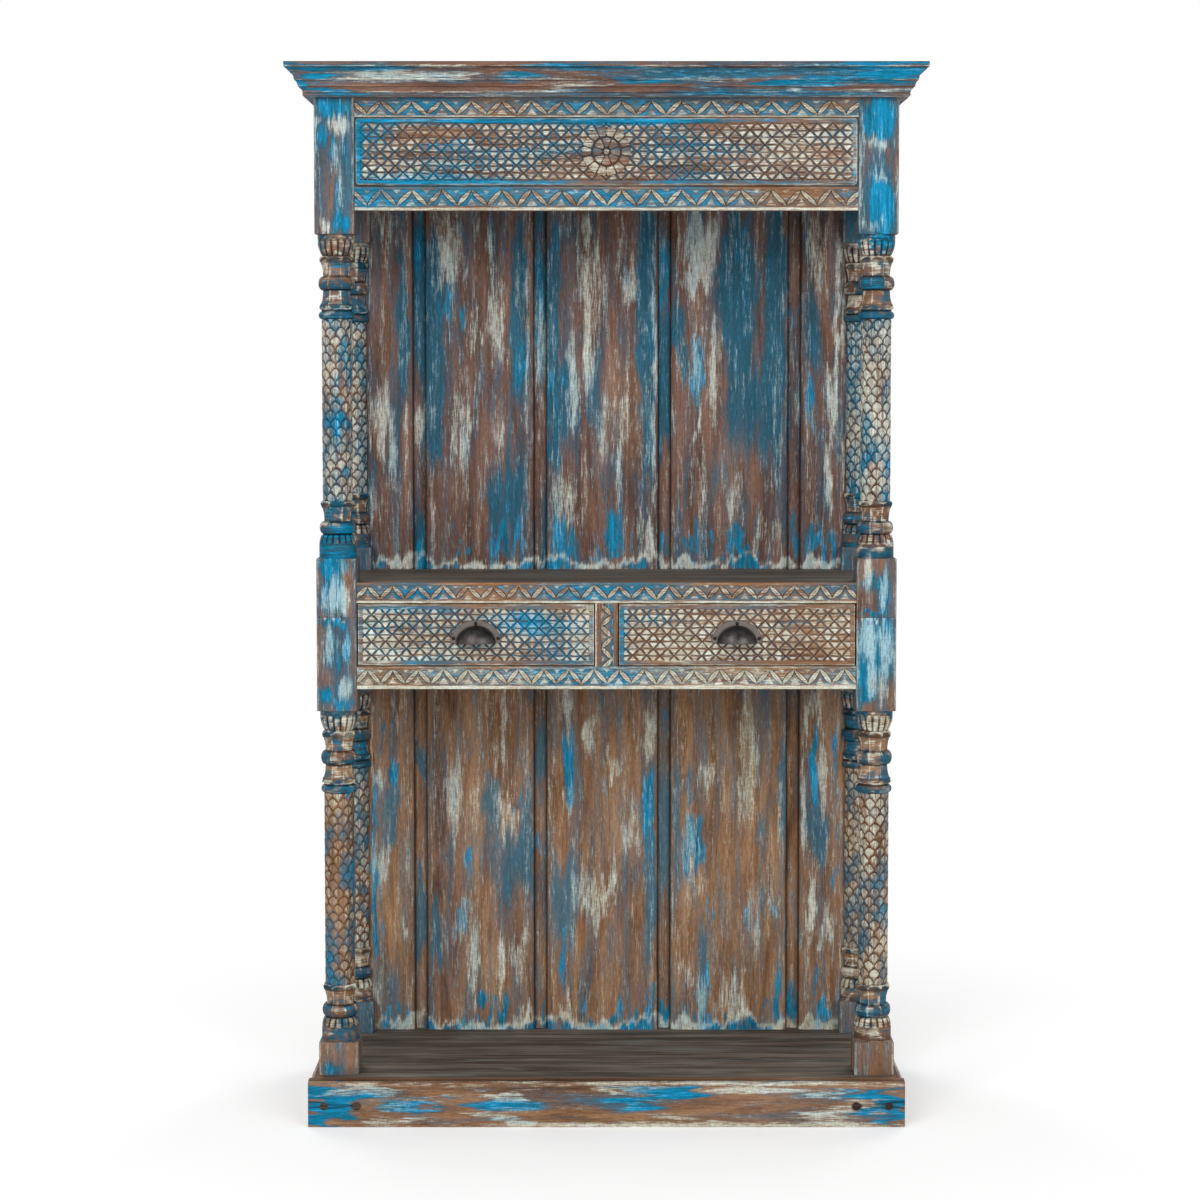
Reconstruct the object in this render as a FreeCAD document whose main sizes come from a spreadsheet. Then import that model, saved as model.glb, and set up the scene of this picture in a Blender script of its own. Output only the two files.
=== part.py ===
import FreeCAD, Part
import os

import Sketcher

# Carved shelving unit in solid wood: four corners of stacked, turned posts on a plinth,
# a row of two drawers at mid height, a planked back, a frieze and a mitred cornice.
# Millimetres; the floor is z = 0, the front faces -Y and x = 0 is the centre line.

SIZES = (
    ("post_outer_width", 1014, "across the outer faces of the posts"),
    ("post_size", 70, "side of the square blocks of a post"),
    ("post_row_pitch", 293, "front post face to rear post face"),
    ("lower_foot_block", 58.5, "square block at the foot of a lower post"),
    ("lower_shaft", 341, "round shaft of a lower post"),
    ("lower_head_block", 164.5, "square block at the head of a lower post"),
    ("upper_foot_block", 103.5, "square block at the foot of an upper post"),
    ("upper_shaft", 318.5, "round shaft of an upper post"),
    ("upper_head_block", 272, "square block at the head of an upper post"),
    ("shaft_radius", 26.5, "round shaft"),
    ("neck_radius", 25, "narrowest turning between the members"),
    ("torus_radius", 32.4, "round bead of the foot and the cap"),
    ("lip_radius", 32, "flared lip of a cove"),
    ("ring_radius", 31.5, "thin ring under the cap"),
    ("bell_radius", 32.6, "wide end of a bell, next to a block"),
    ("bell_curve", 3, "swelling of a bell"),
    ("cove_curve", 3, "hollow of a cove"),
    ("lip_curve", 1.4, "rounding of a lip"),
    ("foot_drum_rise", 20, "straight drum above the foot block"),
    ("foot_bell_rise", 21.5, "bell above the drum"),
    ("foot_torus_rise", 22.5, "bead above the foot bell"),
    ("foot_cove_rise", 27, "cove above the foot bead"),
    ("foot_lip_rise", 8.5, "lip under the shaft"),
    ("cap_ring_rise", 13, "thin ring above the shaft"),
    ("cap_gap_rise", 3, "groove above the thin ring"),
    ("cap_low_lip_rise", 8, "lower lip of the cap"),
    ("cap_low_cove_rise", 26, "lower cove of the cap"),
    ("cap_torus_rise", 24, "bead of the cap"),
    ("cap_high_cove_rise", 26, "upper cove of the cap"),
    ("cap_high_lip_rise", 9, "upper lip of the cap"),
    ("cap_bell_rise", 37.5, "bell under the head block"),
    ("scallop_radius", 5, "notch between two petals of a lip"),
    ("scallop_depth", 3.4, "notch between two petals of a lip"),
    ("dowel_radius", 8, "dowels of the posts"),
    ("dowel_reach", 40, "dowel length in each post"),
    ("plinth_height", 80, "floor to deck"),
    ("plinth_front_projection", 43, "plinth in front of the posts"),
    ("plinth_side_projection", 15, "plinth beside the posts"),
    ("plinth_front_thickness", 28, "front board of the plinth"),
    ("plinth_thickness", 22, "side and back boards of the plinth"),
    ("plinth_arris", 8, "rounded top edge of the plinth"),
    ("deck_thickness", 22, "deck inside the plinth"),
    ("corner_block_size", 42, "glue blocks under the deck"),
    ("plug_radius", 7, "wooden plugs over the plinth screws"),
    ("plug_depth", 8, "depth of a plug"),
    ("plug_end_inset", 28, "outer plug from the end of the plinth"),
    ("plug_inner_inset", 85, "inner plug from the end of the plinth"),
    ("plug_height", 37, "plugs above the floor"),
    ("rail_thickness", 22, "front rails, stile and drawer fronts"),
    ("rail_setback", 5, "front rails behind the post faces"),
    ("tenon_length", 22, "tenons of rails and sides"),
    ("tenon_thickness", 10, "tenons of rails and sides"),
    ("tenon_shoulder", 6, "shoulder above and below a tenon"),
    ("side_thickness", 20, "boards between a front and a rear post"),
    ("side_setback", 8, "side boards behind the outer post faces"),
    ("shelf_height", 951, "floor to the upper face of the shelf"),
    ("shelf_thickness", 20, "shelf above the drawers"),
    ("drawer_top_rail_height", 36, "carved rail above the drawers"),
    ("drawer_opening_height", 111, "opening of the drawers"),
    ("drawer_low_rail_height", 40, "carved rail under the drawers"),
    ("dust_board_thickness", 18, "board that the drawers run on"),
    ("stile_width", 40, "carved stile between the drawers"),
    ("guide_height", 26, "outer drawer guides"),
    ("header_low_rail_base", 1599, "floor to the underside of the header"),
    ("header_low_rail_height", 41, "carved rail under the frieze"),
    ("header_panel_height", 120, "frieze board"),
    ("panel_raise", 5, "raised field of the frieze"),
    ("panel_margin", 2, "field inside the frieze board"),
    ("panel_corner", 7, "rounded corners of the field"),
    ("rosette_raise", 2.4, "rosette above the field"),
    ("boss_radius", 7, "button of the rosette"),
    ("petal_ring", 31, "petal centres from the button"),
    ("petal_length", 19, "one petal of the rosette"),
    ("petal_width", 15, "one petal of the rosette"),
    ("top_thickness", 20, "board inside the cornice"),
    ("cornice_lip_height", 8.5, "top fillet of the cornice"),
    ("cornice_lip_step", 3, "top fillet in front of the cavetto"),
    ("cornice_quirk", 1.5, "grooves between the mouldings"),
    ("cornice_cavetto_height", 19.5, "sloping hollow of the cornice"),
    ("cornice_cavetto_reach", 13, "sloping hollow of the cornice"),
    ("cornice_step", 2, "step under each moulding"),
    ("cornice_face_height", 11, "slanted face of the cornice"),
    ("cornice_face_reach", 4, "slanted face of the cornice"),
    ("cornice_cove_height", 9.5, "small cove above the bead"),
    ("cornice_cove_reach", 5, "small cove above the bead"),
    ("cornice_bead_height", 7, "bead at the bottom of the cornice"),
    ("cornice_base", 15, "underside of the cornice beside the posts"),
    ("plank_setback", 28.5, "plank faces behind the rear post faces"),
    ("plank_thickness", 14, "planks of the back"),
    ("plank_gap", 24, "visible strip between two planks"),
    ("plank_bevel", 12, "bevelled plank edges"),
    ("plank_bevel_depth", 4, "bevelled plank edges"),
    ("rebate_depth", 15, "rebate of the rear posts"),
    ("strip_one", 349, "first strip left of the centre line"),
    ("strip_two", 124, "second strip left of the centre line"),
    ("strip_three", 108, "third strip right of the centre line"),
    ("strip_four", 350, "fourth strip right of the centre line"),
    ("strip_width", 62, "strips behind the planks"),
    ("strip_thickness", 16, "strips behind the planks"),
    ("back_rail_height", 80, "rails behind the strips"),
    ("back_rail_thickness", 11, "rails behind the strips"),
    ("back_low_rail_base", 790, "floor to the lower back rail"),
    ("drawer_gap", 2, "gap around a drawer front"),
    ("drawer_length", 262, "drawer behind its front"),
    ("drawer_side_height", 90, "sides of a drawer"),
    ("drawer_side_thickness", 12, "sides and back of a drawer"),
    ("drawer_dado", 7, "sides housed in the front"),
    ("drawer_bottom_thickness", 6, "bottom of a drawer"),
    ("drawer_bottom_lift", 10, "bottom above the edges of the sides"),
    ("drawer_groove", 6, "bottom housed in the sides and the front"),
    ("pull_width", 90, "flange of a cup pull"),
    ("pull_height", 40, "flange of a cup pull"),
    ("pull_thickness", 2, "flange and shell of a cup pull"),
    ("cup_width", 70, "cup of a pull"),
    ("cup_reach", 29, "cup of a pull, up and out"),
    ("pull_drop", 14, "flange edge below the middle of the front"),
    ("pull_top_screw", 34.5, "upper screw above the flange edge"),
    ("pull_side_screw", 39, "side screws from the middle"),
    ("pull_side_screw_rise", 8, "side screws above the flange edge"),
    ("screw_radius", 1.7, "shank of a pull screw"),
    ("screw_length", 14, "shank of a pull screw"),
    ("screw_head_radius", 3.2, "head of a pull screw"),
    ("screw_head_height", 1.8, "head of a pull screw"),
    ("joint_clearance", 0.2, "around tenons, dowels and housed edges"),
    ("slide_clearance", 0.4, "under the running edges of a drawer"),
)

PETALS = 8
ROSETTE_PETALS = 12

doc = FreeCAD.newDocument("ShelvingUnit")


class Size:
    """A length: its sheet expression and its present value."""

    def __init__(self, text, value):
        self.text = text
        self.value = float(value)

    def __add__(self, other):
        other = as_size(other)
        return Size("(%s + %s)" % (self.text, other.text), self.value + other.value)

    def __sub__(self, other):
        other = as_size(other)
        return Size("(%s - %s)" % (self.text, other.text), self.value - other.value)

    def __rsub__(self, other):
        return as_size(other) - self

    def __mul__(self, other):
        other = as_size(other)
        return Size("(%s * %s)" % (self.text, other.text), self.value * other.value)

    def __truediv__(self, other):
        other = as_size(other)
        return Size("(%s / %s)" % (self.text, other.text), self.value / other.value)

    def __neg__(self):
        return Size("(-%s)" % self.text, -self.value)

    __radd__ = __add__
    __rmul__ = __mul__


def as_size(thing):
    if isinstance(thing, Size):
        return thing
    return Size(repr(thing), thing)


class Named:
    """The sheet's sizes as attributes."""


sheet = doc.addObject("Spreadsheet::Sheet", "Sizes")
s = Named()
for row, (alias, amount, meaning) in enumerate(SIZES, start=1):
    sheet.set("A%d" % row, meaning)
    sheet.set("B%d" % row, str(amount))
    sheet.setAlias("B%d" % row, alias)
    setattr(s, alias, Size("Sizes." + alias, amount))
doc.recompute()

parts = []


def bind(thing, prop, length):
    thing.setExpression(prop, as_size(length).text)


def place(thing, x, y, z):
    bind(thing, "Placement.Base.x", x)
    bind(thing, "Placement.Base.y", y)
    bind(thing, "Placement.Base.z", z)


def turn(thing, axis, angle):
    thing.Placement.Rotation = FreeCAD.Rotation(FreeCAD.Vector(*axis), angle)


def keep(thing):
    parts.append(thing)
    return thing


def box(name, x, y, z):
    made = doc.addObject("Part::Box", name)
    bind(made, "Length", x[1] - x[0])
    bind(made, "Width", y[1] - y[0])
    bind(made, "Height", z[1] - z[0])
    place(made, x[0], y[0], z[0])
    return made


def rod(name, radius, length, x, y, z, into_front=False):
    """A cylinder upward from (x, y, z), or backward from it when it enters a front."""
    made = doc.addObject("Part::Cylinder", name)
    bind(made, "Radius", radius)
    bind(made, "Height", length)
    if into_front:
        turn(made, (1, 0, 0), -90)
    place(made, x, y, z)
    return made


def joined(name, *pieces):
    made = doc.addObject("Part::MultiFuse", name)
    made.Shapes = list(pieces)
    return made


def group(name, *pieces):
    made = doc.addObject("Part::Compound", name)
    made.Links = list(pieces)
    return made


def minus(name, base, *tools):
    made = doc.addObject("Part::Cut", name)
    made.Base = base
    made.Tool = tools[0] if len(tools) == 1 else group(name + "_cutters", *tools)
    return made


def shared(name, first, second):
    made = doc.addObject("Part::Common", name)
    made.Base = first
    made.Tool = second
    return made


def mirrored(name, source):
    made = doc.addObject("Part::Mirroring", name)
    made.Source = source
    made.Base = (0, 0, 0)
    made.Normal = (1, 0, 0)
    return made


def outline(body, name, plane, points):
    """A closed sketch, anticlockwise; a point may carry (way, depth) of the arc after it."""
    sketch = body.newObject("Sketcher::SketchObject", name)
    for face in body.Origin.OriginFeatures:
        if face.Role == plane:
            sketch.AttachmentSupport = [(face, "")]
    sketch.MapMode = "FlatFace"
    corners = [(as_size(point[0]), as_size(point[1])) for point in points]
    spots = [FreeCAD.Vector(x.value, y.value, 0) for x, y in corners]
    ends = []
    radii = []
    for index, point in enumerate(points):
        after = (index + 1) % len(points)
        start, stop = spots[index], spots[after]
        if len(point) == 2:
            sketch.addGeometry(Part.LineSegment(start, stop))
        else:
            way, depth = point[2]
            across = corners[after][0] - corners[index][0]
            along = corners[after][1] - corners[index][1]
            chord = across * across + along * along
            radii.append((index, (chord / 4 + depth * depth) / (depth * 2)))
            side = depth.value / (stop - start).Length * (1 if way == "out" else -1)
            middle = (start + stop) / 2 + FreeCAD.Vector(along.value, -across.value, 0) * side
            sketch.addGeometry(Part.Arc(start, middle, stop))
        first = 1 if (sketch.getPoint(index, 1) - start).Length < 1e-6 else 2
        ends.append((first, 3 - first))
    for index in range(len(points)):
        after = (index + 1) % len(points)
        sketch.addConstraint(
            Sketcher.Constraint("Coincident", index, ends[index][1], after, ends[after][0]))
    for index, (x, y) in enumerate(corners):
        fix(sketch, "DistanceX", -2, index, ends[index][0], x)
        fix(sketch, "DistanceY", -1, index, ends[index][0], y)
    for index, radius in radii:
        number = sketch.addConstraint(Sketcher.Constraint("Radius", index, radius.value))
        bind(sketch, "Constraints[%d]" % number, radius)
    return sketch


def fix(sketch, kind, axis, edge, end, length):
    if length.text == "0":
        sketch.addConstraint(Sketcher.Constraint("PointOnObject", edge, end, axis))
        return
    number = sketch.addConstraint(Sketcher.Constraint(kind, -1, 1, edge, end, length.value))
    bind(sketch, "Constraints[%d]" % number, length)


def circle(body, name, plane, x, y, radius):
    sketch = body.newObject("Sketcher::SketchObject", name)
    for face in body.Origin.OriginFeatures:
        if face.Role == plane:
            sketch.AttachmentSupport = [(face, "")]
    sketch.MapMode = "FlatFace"
    x, y, radius = as_size(x), as_size(y), as_size(radius)
    centre = FreeCAD.Vector(x.value, y.value, 0)
    sketch.addGeometry(Part.Circle(centre, FreeCAD.Vector(0, 0, 1), radius.value))
    fix(sketch, "DistanceX", -2, 0, 3, x)
    fix(sketch, "DistanceY", -1, 0, 3, y)
    number = sketch.addConstraint(Sketcher.Constraint("Radius", 0, radius.value))
    bind(sketch, "Constraints[%d]" % number, radius)
    return sketch


def pad(body, name, sketch, length):
    made = body.newObject("PartDesign::Pad", name)
    made.Profile = sketch
    bind(made, "Length", length)
    return made


def revolve(body, name, sketch, axis, angle=360, backward=False):
    made = body.newObject("PartDesign::Revolution", name)
    made.Profile = sketch
    made.ReferenceAxis = (sketch, [axis])
    made.Angle = angle
    made.Reversed = backward
    return made


def ring_of(body, name, feature, axis_role, count):
    made = body.newObject("PartDesign::PolarPattern", name)
    made.Originals = [feature]
    for line in body.Origin.OriginFeatures:
        if line.Role == axis_role:
            made.Axis = (line, [""])
    made.Angle = 360
    made.Occurrences = count
    body.Tip = made
    return made


def prism(name, plane, points, length):
    body = doc.addObject("PartDesign::Body", name)
    pad(body, name + "_pad", outline(body, name + "_outline", plane, points), length)
    return body


# Levels and lines that the pieces share.
outer_x = s.post_outer_width / 2
inner_x = outer_x - s.post_size
post_x = outer_x - s.post_size / 2
cornice_reach = (s.cornice_base + s.cornice_step * 2 + s.cornice_cove_reach
                 + s.cornice_face_reach + s.cornice_cavetto_reach + s.cornice_lip_step
                 + s.cornice_step)
cornice_height = (s.cornice_bead_height + s.cornice_cove_height + s.cornice_face_height
                  + s.cornice_cavetto_height + s.cornice_quirk + s.cornice_lip_height)
front_y = (cornice_reach - s.post_row_pitch - s.post_size) / 2
front_back_y = front_y + s.post_size
rear_y = front_y + s.post_row_pitch
back_y = rear_y + s.post_size
rail_y = front_y + s.rail_setback
rail_back_y = rail_y + s.rail_thickness
plank_y = rear_y + s.plank_setback
strip_y = plank_y + s.plank_thickness
foot_rise = (s.foot_drum_rise + s.foot_bell_rise + s.foot_torus_rise + s.foot_cove_rise
             + s.foot_lip_rise)
cap_rise = (s.cap_ring_rise + s.cap_gap_rise + s.cap_low_lip_rise + s.cap_low_cove_rise
            + s.cap_torus_rise + s.cap_high_cove_rise + s.cap_high_lip_rise + s.cap_bell_rise)
storey_z = (s.plinth_height + s.lower_foot_block + foot_rise + s.lower_shaft + cap_rise
            + s.lower_head_block)
post_top_z = (storey_z + s.upper_foot_block + foot_rise + s.upper_shaft + cap_rise
              + s.upper_head_block)
top_z = post_top_z + s.top_thickness
drawer_top_z = s.shelf_height - s.drawer_top_rail_height
drawer_floor_z = drawer_top_z - s.drawer_opening_height
drawer_base_z = drawer_floor_z - s.drawer_low_rail_height
panel_z = s.header_low_rail_base + s.header_low_rail_height
panel_top_z = panel_z + s.header_panel_height
side_x = outer_x - s.side_setback
side_inner_x = side_x - s.side_thickness
play = s.joint_clearance


def grown(span, amount):
    return (span[0] - amount, span[1] + amount)


# Tenons of the boards that enter the left-hand posts, and the mortises around them.
rail_tenon_y = (rail_y + (s.rail_thickness - s.tenon_thickness) / 2,
                rail_y + (s.rail_thickness + s.tenon_thickness) / 2)
rail_tenon_x = (-inner_x - s.tenon_length, -inner_x)
side_tenon_x = (-side_x + (s.side_thickness - s.tenon_thickness) / 2,
                -side_x + (s.side_thickness + s.tenon_thickness) / 2)
side_tenon_front = (front_back_y - s.tenon_length, front_back_y)
side_tenon_rear = (rear_y, rear_y + s.tenon_length)


def tenon_span(z):
    return (z[0] + s.tenon_shoulder, z[1] - s.tenon_shoulder)


def rail_mortise(name, z):
    return box(name, (rail_tenon_x[0] - play, rail_tenon_x[1]),
               grown(rail_tenon_y, play), grown(tenon_span(z), play))


def side_mortise(name, y, z):
    return box(name, grown(side_tenon_x, play), grown(y, play), grown(tenon_span(z), play))


def front_rail(name, z, bore=None):
    """A rail between the front posts, with a tenon at each end."""
    body = box(name + "_board", (-inner_x, inner_x), (rail_y, rail_back_y), z)
    left = box(name + "_left_tenon", rail_tenon_x, rail_tenon_y, tenon_span(z))
    right = box(name + "_right_tenon", (inner_x, inner_x + s.tenon_length), rail_tenon_y,
                tenon_span(z))
    whole = name if bore is None else name + "_tenoned"
    made = joined(whole, body, left, right)
    if bore is not None:
        made = minus(name, made, bore)
    return made


def side_board(name, z):
    """The left-hand board between a front and a rear post, with its tenons."""
    body = box(name + "_board", (-side_x, -side_inner_x), (front_back_y, rear_y), z)
    front = box(name + "_front_tenon", side_tenon_x, side_tenon_front, tenon_span(z))
    rear = box(name + "_rear_tenon", side_tenon_x, side_tenon_rear, tenon_span(z))
    return joined(name, body, front, rear)


header_top_z = (panel_top_z, post_top_z)
header_panel_z = (panel_z, panel_top_z)
header_low_z = (s.header_low_rail_base, panel_z)
header_end_z = (s.header_low_rail_base, post_top_z)
drawer_rail_z = (drawer_top_z, s.shelf_height)
drawer_low_z = (drawer_base_z, drawer_floor_z)
carcase_z = (drawer_base_z, s.shelf_height - s.shelf_thickness)


# Turned posts: square blocks with a petalled foot, a round shaft and a petalled cap.
def turned_post(name, foot_block, shaft, head_block, y, z):
    body = doc.addObject("PartDesign::Body", name)
    half = s.post_size / 2
    square = [(-half, -half), (half, -half), (half, half), (-half, half)]
    pad(body, name + "_foot", outline(body, name + "_foot_square", "XY_Plane", square), foot_block)
    members = (
        (s.bell_radius, s.foot_drum_rise, None, None),
        (s.neck_radius, s.foot_bell_rise, "out", s.bell_curve),
        (s.neck_radius, s.foot_torus_rise, "out", s.torus_radius - s.neck_radius),
        (s.lip_radius, s.foot_cove_rise, "in", s.cove_curve),
        (s.shaft_radius, s.foot_lip_rise, "out", s.lip_curve),
        (s.shaft_radius, shaft, None, None),
        (s.shaft_radius, s.cap_ring_rise, "out", s.ring_radius - s.shaft_radius),
        (s.shaft_radius, s.cap_gap_rise, None, None),
        (s.lip_radius, s.cap_low_lip_rise, "out", s.lip_curve),
        (s.neck_radius, s.cap_low_cove_rise, "in", s.cove_curve),
        (s.neck_radius, s.cap_torus_rise, "out", s.torus_radius - s.neck_radius),
        (s.lip_radius, s.cap_high_cove_rise, "in", s.cove_curve),
        (s.neck_radius, s.cap_high_lip_rise, "out", s.lip_curve),
        (s.bell_radius, s.cap_bell_rise, "out", s.bell_curve),
    )
    level = foot_block
    points = [(0, level)]
    radius = s.bell_radius
    for next_radius, rise, way, depth in members:
        points.append((radius, level) if way is None else (radius, level, (way, depth)))
        radius = next_radius
        level = level + rise
    points.append((radius, level))
    points.append((0, level))
    profile = outline(body, name + "_profile", "XZ_Plane", points)
    revolve(body, name + "_turning", profile, "V_Axis")
    head = outline(body, name + "_head_square", "XY_Plane", square)
    bind(head, "AttachmentOffset.Base.z", level)
    pad(body, name + "_head", head, head_block)
    foot_crest = foot_block + foot_rise - s.foot_lip_rise
    low_crest = (foot_block + foot_rise + shaft + s.cap_ring_rise + s.cap_gap_rise
                 + s.cap_low_lip_rise)
    high_crest = low_crest + s.cap_low_cove_rise + s.cap_torus_rise + s.cap_high_cove_rise
    for member, crest in (("foot", foot_crest), ("low", low_crest), ("high", high_crest)):
        notch = circle(body, "%s_%s_notch" % (name, member), "XZ_Plane", 0, crest,
                       s.scallop_radius)
        bind(notch, "AttachmentOffset.Base.z", s.lip_radius - s.scallop_depth)
        scallop = body.newObject("PartDesign::Pocket", "%s_%s_scallop" % (name, member))
        scallop.Profile = notch
        scallop.Reversed = True
        bind(scallop, "Length", s.post_size)
        ring_of(body, "%s_%s_petals" % (name, member), scallop, "Z_Axis", PETALS)
    place(body, -post_x, y + half, z)
    return body


def dowel_hole(name, y, z):
    return rod(name, s.dowel_radius + play, z[1] - z[0], -post_x, y + s.post_size / 2, z[0])


deck_dowel_z = (s.plinth_height - s.deck_thickness, s.plinth_height + s.dowel_reach)
storey_dowel_z = (storey_z - s.dowel_reach, storey_z + s.dowel_reach)
rebate_x = (-inner_x - s.rebate_depth - play, -inner_x + play)

for row_name, y in (("front", front_y), ("rear", rear_y)):
    tenon_y = side_tenon_front if row_name == "front" else side_tenon_rear
    tag = row_name + "_left_lower_post"
    lower = turned_post(tag + "_turned", s.lower_foot_block, s.lower_shaft, s.lower_head_block,
                        y, s.plinth_height)
    cutters = [
        dowel_hole(tag + "_deck_hole", y, grown(deck_dowel_z, play)),
        dowel_hole(tag + "_joint_hole", y, grown(storey_dowel_z, play)),
        side_mortise(tag + "_side_mortise", tenon_y, carcase_z),
    ]
    if row_name == "front":
        cutters.append(rail_mortise(tag + "_rail_mortise", drawer_low_z))
    else:
        cutters.append(box(tag + "_rebate", rebate_x, (plank_y - play, back_y + play),
                           (s.plinth_height, storey_z)))
    lower = keep(minus(tag, lower, *cutters))
    keep(mirrored(row_name + "_right_lower_post", lower))

    tag = row_name + "_left_upper_post"
    upper = turned_post(tag + "_turned", s.upper_foot_block, s.upper_shaft, s.upper_head_block,
                        y, storey_z)
    cutters = [
        dowel_hole(tag + "_joint_hole", y, grown(storey_dowel_z, play)),
        side_mortise(tag + "_side_mortise", tenon_y, carcase_z),
        side_mortise(tag + "_end_mortise", tenon_y, header_end_z),
    ]
    if row_name == "front":
        cutters.append(rail_mortise(tag + "_drawer_mortise", drawer_rail_z))
        cutters.append(rail_mortise(tag + "_low_mortise", header_low_z))
        cutters.append(rail_mortise(tag + "_panel_mortise", header_panel_z))
        cutters.append(rail_mortise(tag + "_top_mortise", header_top_z))
    else:
        cutters.append(box(tag + "_rebate", rebate_x, (plank_y - play, back_y + play),
                           (storey_z, post_top_z)))
    upper = keep(minus(tag, upper, *cutters))
    keep(mirrored(row_name + "_right_upper_post", upper))

dowels = []
for row_name, y in (("front", front_y), ("rear", rear_y)):
    for hand, x in (("left", -post_x), ("right", post_x)):
        for level, span in (("deck", deck_dowel_z), ("joint", storey_dowel_z)):
            dowels.append(rod("%s_%s_%s_dowel" % (row_name, hand, level), s.dowel_radius,
                              span[1] - span[0], x, y + s.post_size / 2, span[0]))
keep(group("post_dowels", *dowels))

# Plinth and deck.
plinth_x = outer_x + s.plinth_side_projection
plinth_inner_x = plinth_x - s.plinth_thickness
plinth_y = front_y - s.plinth_front_projection
plinth_front_back_y = plinth_y + s.plinth_front_thickness
plinth_back_y = back_y - s.plinth_thickness
arris_depth = s.plinth_arris * 0.292893

front_board = prism("plinth_front_board", "YZ_Plane", [
    (plinth_y, 0),
    (plinth_front_back_y, 0),
    (plinth_front_back_y, s.plinth_height),
    (plinth_y + s.plinth_arris, s.plinth_height, ("out", arris_depth)),
    (plinth_y, s.plinth_height - s.plinth_arris),
], plinth_x * 2)
bind(front_board, "Placement.Base.x", -plinth_x)
plug_spots = []
for inset in (s.plug_end_inset, s.plug_inner_inset):
    plug_spots.append(-plinth_x + inset)
    plug_spots.append(plinth_x - inset)
plugs = []
plug_holes = []
for number, x in enumerate(plug_spots, start=1):
    plugs.append(rod("plinth_plug_%d" % number, s.plug_radius, s.plug_depth, x, plinth_y,
                     s.plug_height, into_front=True))
    plug_holes.append(rod("plinth_plug_hole_%d" % number, s.plug_radius + play,
                          s.plug_depth + play, x, plinth_y, s.plug_height, into_front=True))
keep(minus("plinth_front", front_board, *plug_holes))
keep(group("plinth_plugs", *plugs))

side_plinth = prism("plinth_left", "XZ_Plane", [
    (-plinth_x, 0),
    (-plinth_inner_x, 0),
    (-plinth_inner_x, s.plinth_height),
    (-plinth_x + s.plinth_arris, s.plinth_height, ("out", arris_depth)),
    (-plinth_x, s.plinth_height - s.plinth_arris),
], back_y - plinth_front_back_y)
bind(side_plinth, "Placement.Base.y", back_y)
keep(side_plinth)
keep(mirrored("plinth_right", side_plinth))
keep(box("plinth_back", (-plinth_inner_x, plinth_inner_x), (plinth_back_y, back_y),
         (as_size(0), s.plinth_height)))

deck_z = (s.plinth_height - s.deck_thickness, s.plinth_height)
deck_board = box("base_deck_board", (-plinth_inner_x, plinth_inner_x),
                 (plinth_front_back_y, plinth_back_y), deck_z)
deck_holes = []
for row_name, y in (("front", front_y), ("rear", rear_y)):
    for hand, x in (("left", -post_x), ("right", post_x)):
        deck_holes.append(rod("%s_%s_deck_bore" % (row_name, hand), s.dowel_radius + play,
                              s.deck_thickness + play * 2, x, y + s.post_size / 2,
                              deck_z[0] - play))
keep(minus("base_deck", deck_board, *deck_holes))

blocks = []
block_front = (plinth_front_back_y, plinth_front_back_y + s.corner_block_size)
block_rear = (plinth_back_y - s.corner_block_size, plinth_back_y)
block_left = (-plinth_inner_x, -plinth_inner_x + s.corner_block_size)
block_right = (plinth_inner_x - s.corner_block_size, plinth_inner_x)
for corner, x, y in (("front_left", block_left, block_front), ("rear_left", block_left, block_rear),
                     ("front_right", block_right, block_front),
                     ("rear_right", block_right, block_rear)):
    blocks.append(box(corner + "_block", x, y, (play, deck_z[0])))
keep(group("base_corner_blocks", *blocks))

# Drawer storey: carved rails and stile, sides, shelf, dust board and guides.
stile_x = s.stile_width / 2
stile_tenon_x = (-stile_x + s.tenon_shoulder, stile_x - s.tenon_shoulder)
stile_reach = s.drawer_top_rail_height / 2


def stile_mortise(name, z):
    return box(name, grown(stile_tenon_x, play), grown(rail_tenon_y, play), z)


keep(front_rail("drawer_top_rail", drawer_rail_z,
                stile_mortise("stile_top_mortise", (drawer_top_z - play,
                                                    drawer_top_z + stile_reach + play))))
keep(front_rail("drawer_low_rail", drawer_low_z,
                stile_mortise("stile_low_mortise", (drawer_floor_z - stile_reach - play,
                                                    drawer_floor_z + play))))
stile_board = box("drawer_stile_board", (-stile_x, stile_x), (rail_y, rail_back_y),
                  (drawer_floor_z, drawer_top_z))
stile_tenon = box("drawer_stile_tenon", stile_tenon_x, rail_tenon_y,
                  (drawer_floor_z - stile_reach, drawer_top_z + stile_reach))
keep(joined("drawer_centre_stile", stile_board, stile_tenon))

carcase_side = keep(side_board("carcase_left_side", carcase_z))
keep(mirrored("carcase_right_side", carcase_side))


def notched_board(name, half_width, z, thickness):
    """A board between the front rails and the planks, cut around the four posts."""
    between = inner_x - play
    front = front_back_y + play
    rear = rear_y - play
    board = prism(name, "XY_Plane", [
        (-between, rail_back_y), (between, rail_back_y), (between, front), (half_width, front),
        (half_width, rear), (between, rear), (between, plank_y), (-between, plank_y),
        (-between, rear), (-half_width, rear), (-half_width, front), (-between, front),
    ], thickness)
    bind(board, "Placement.Base.z", z)
    return board


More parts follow.
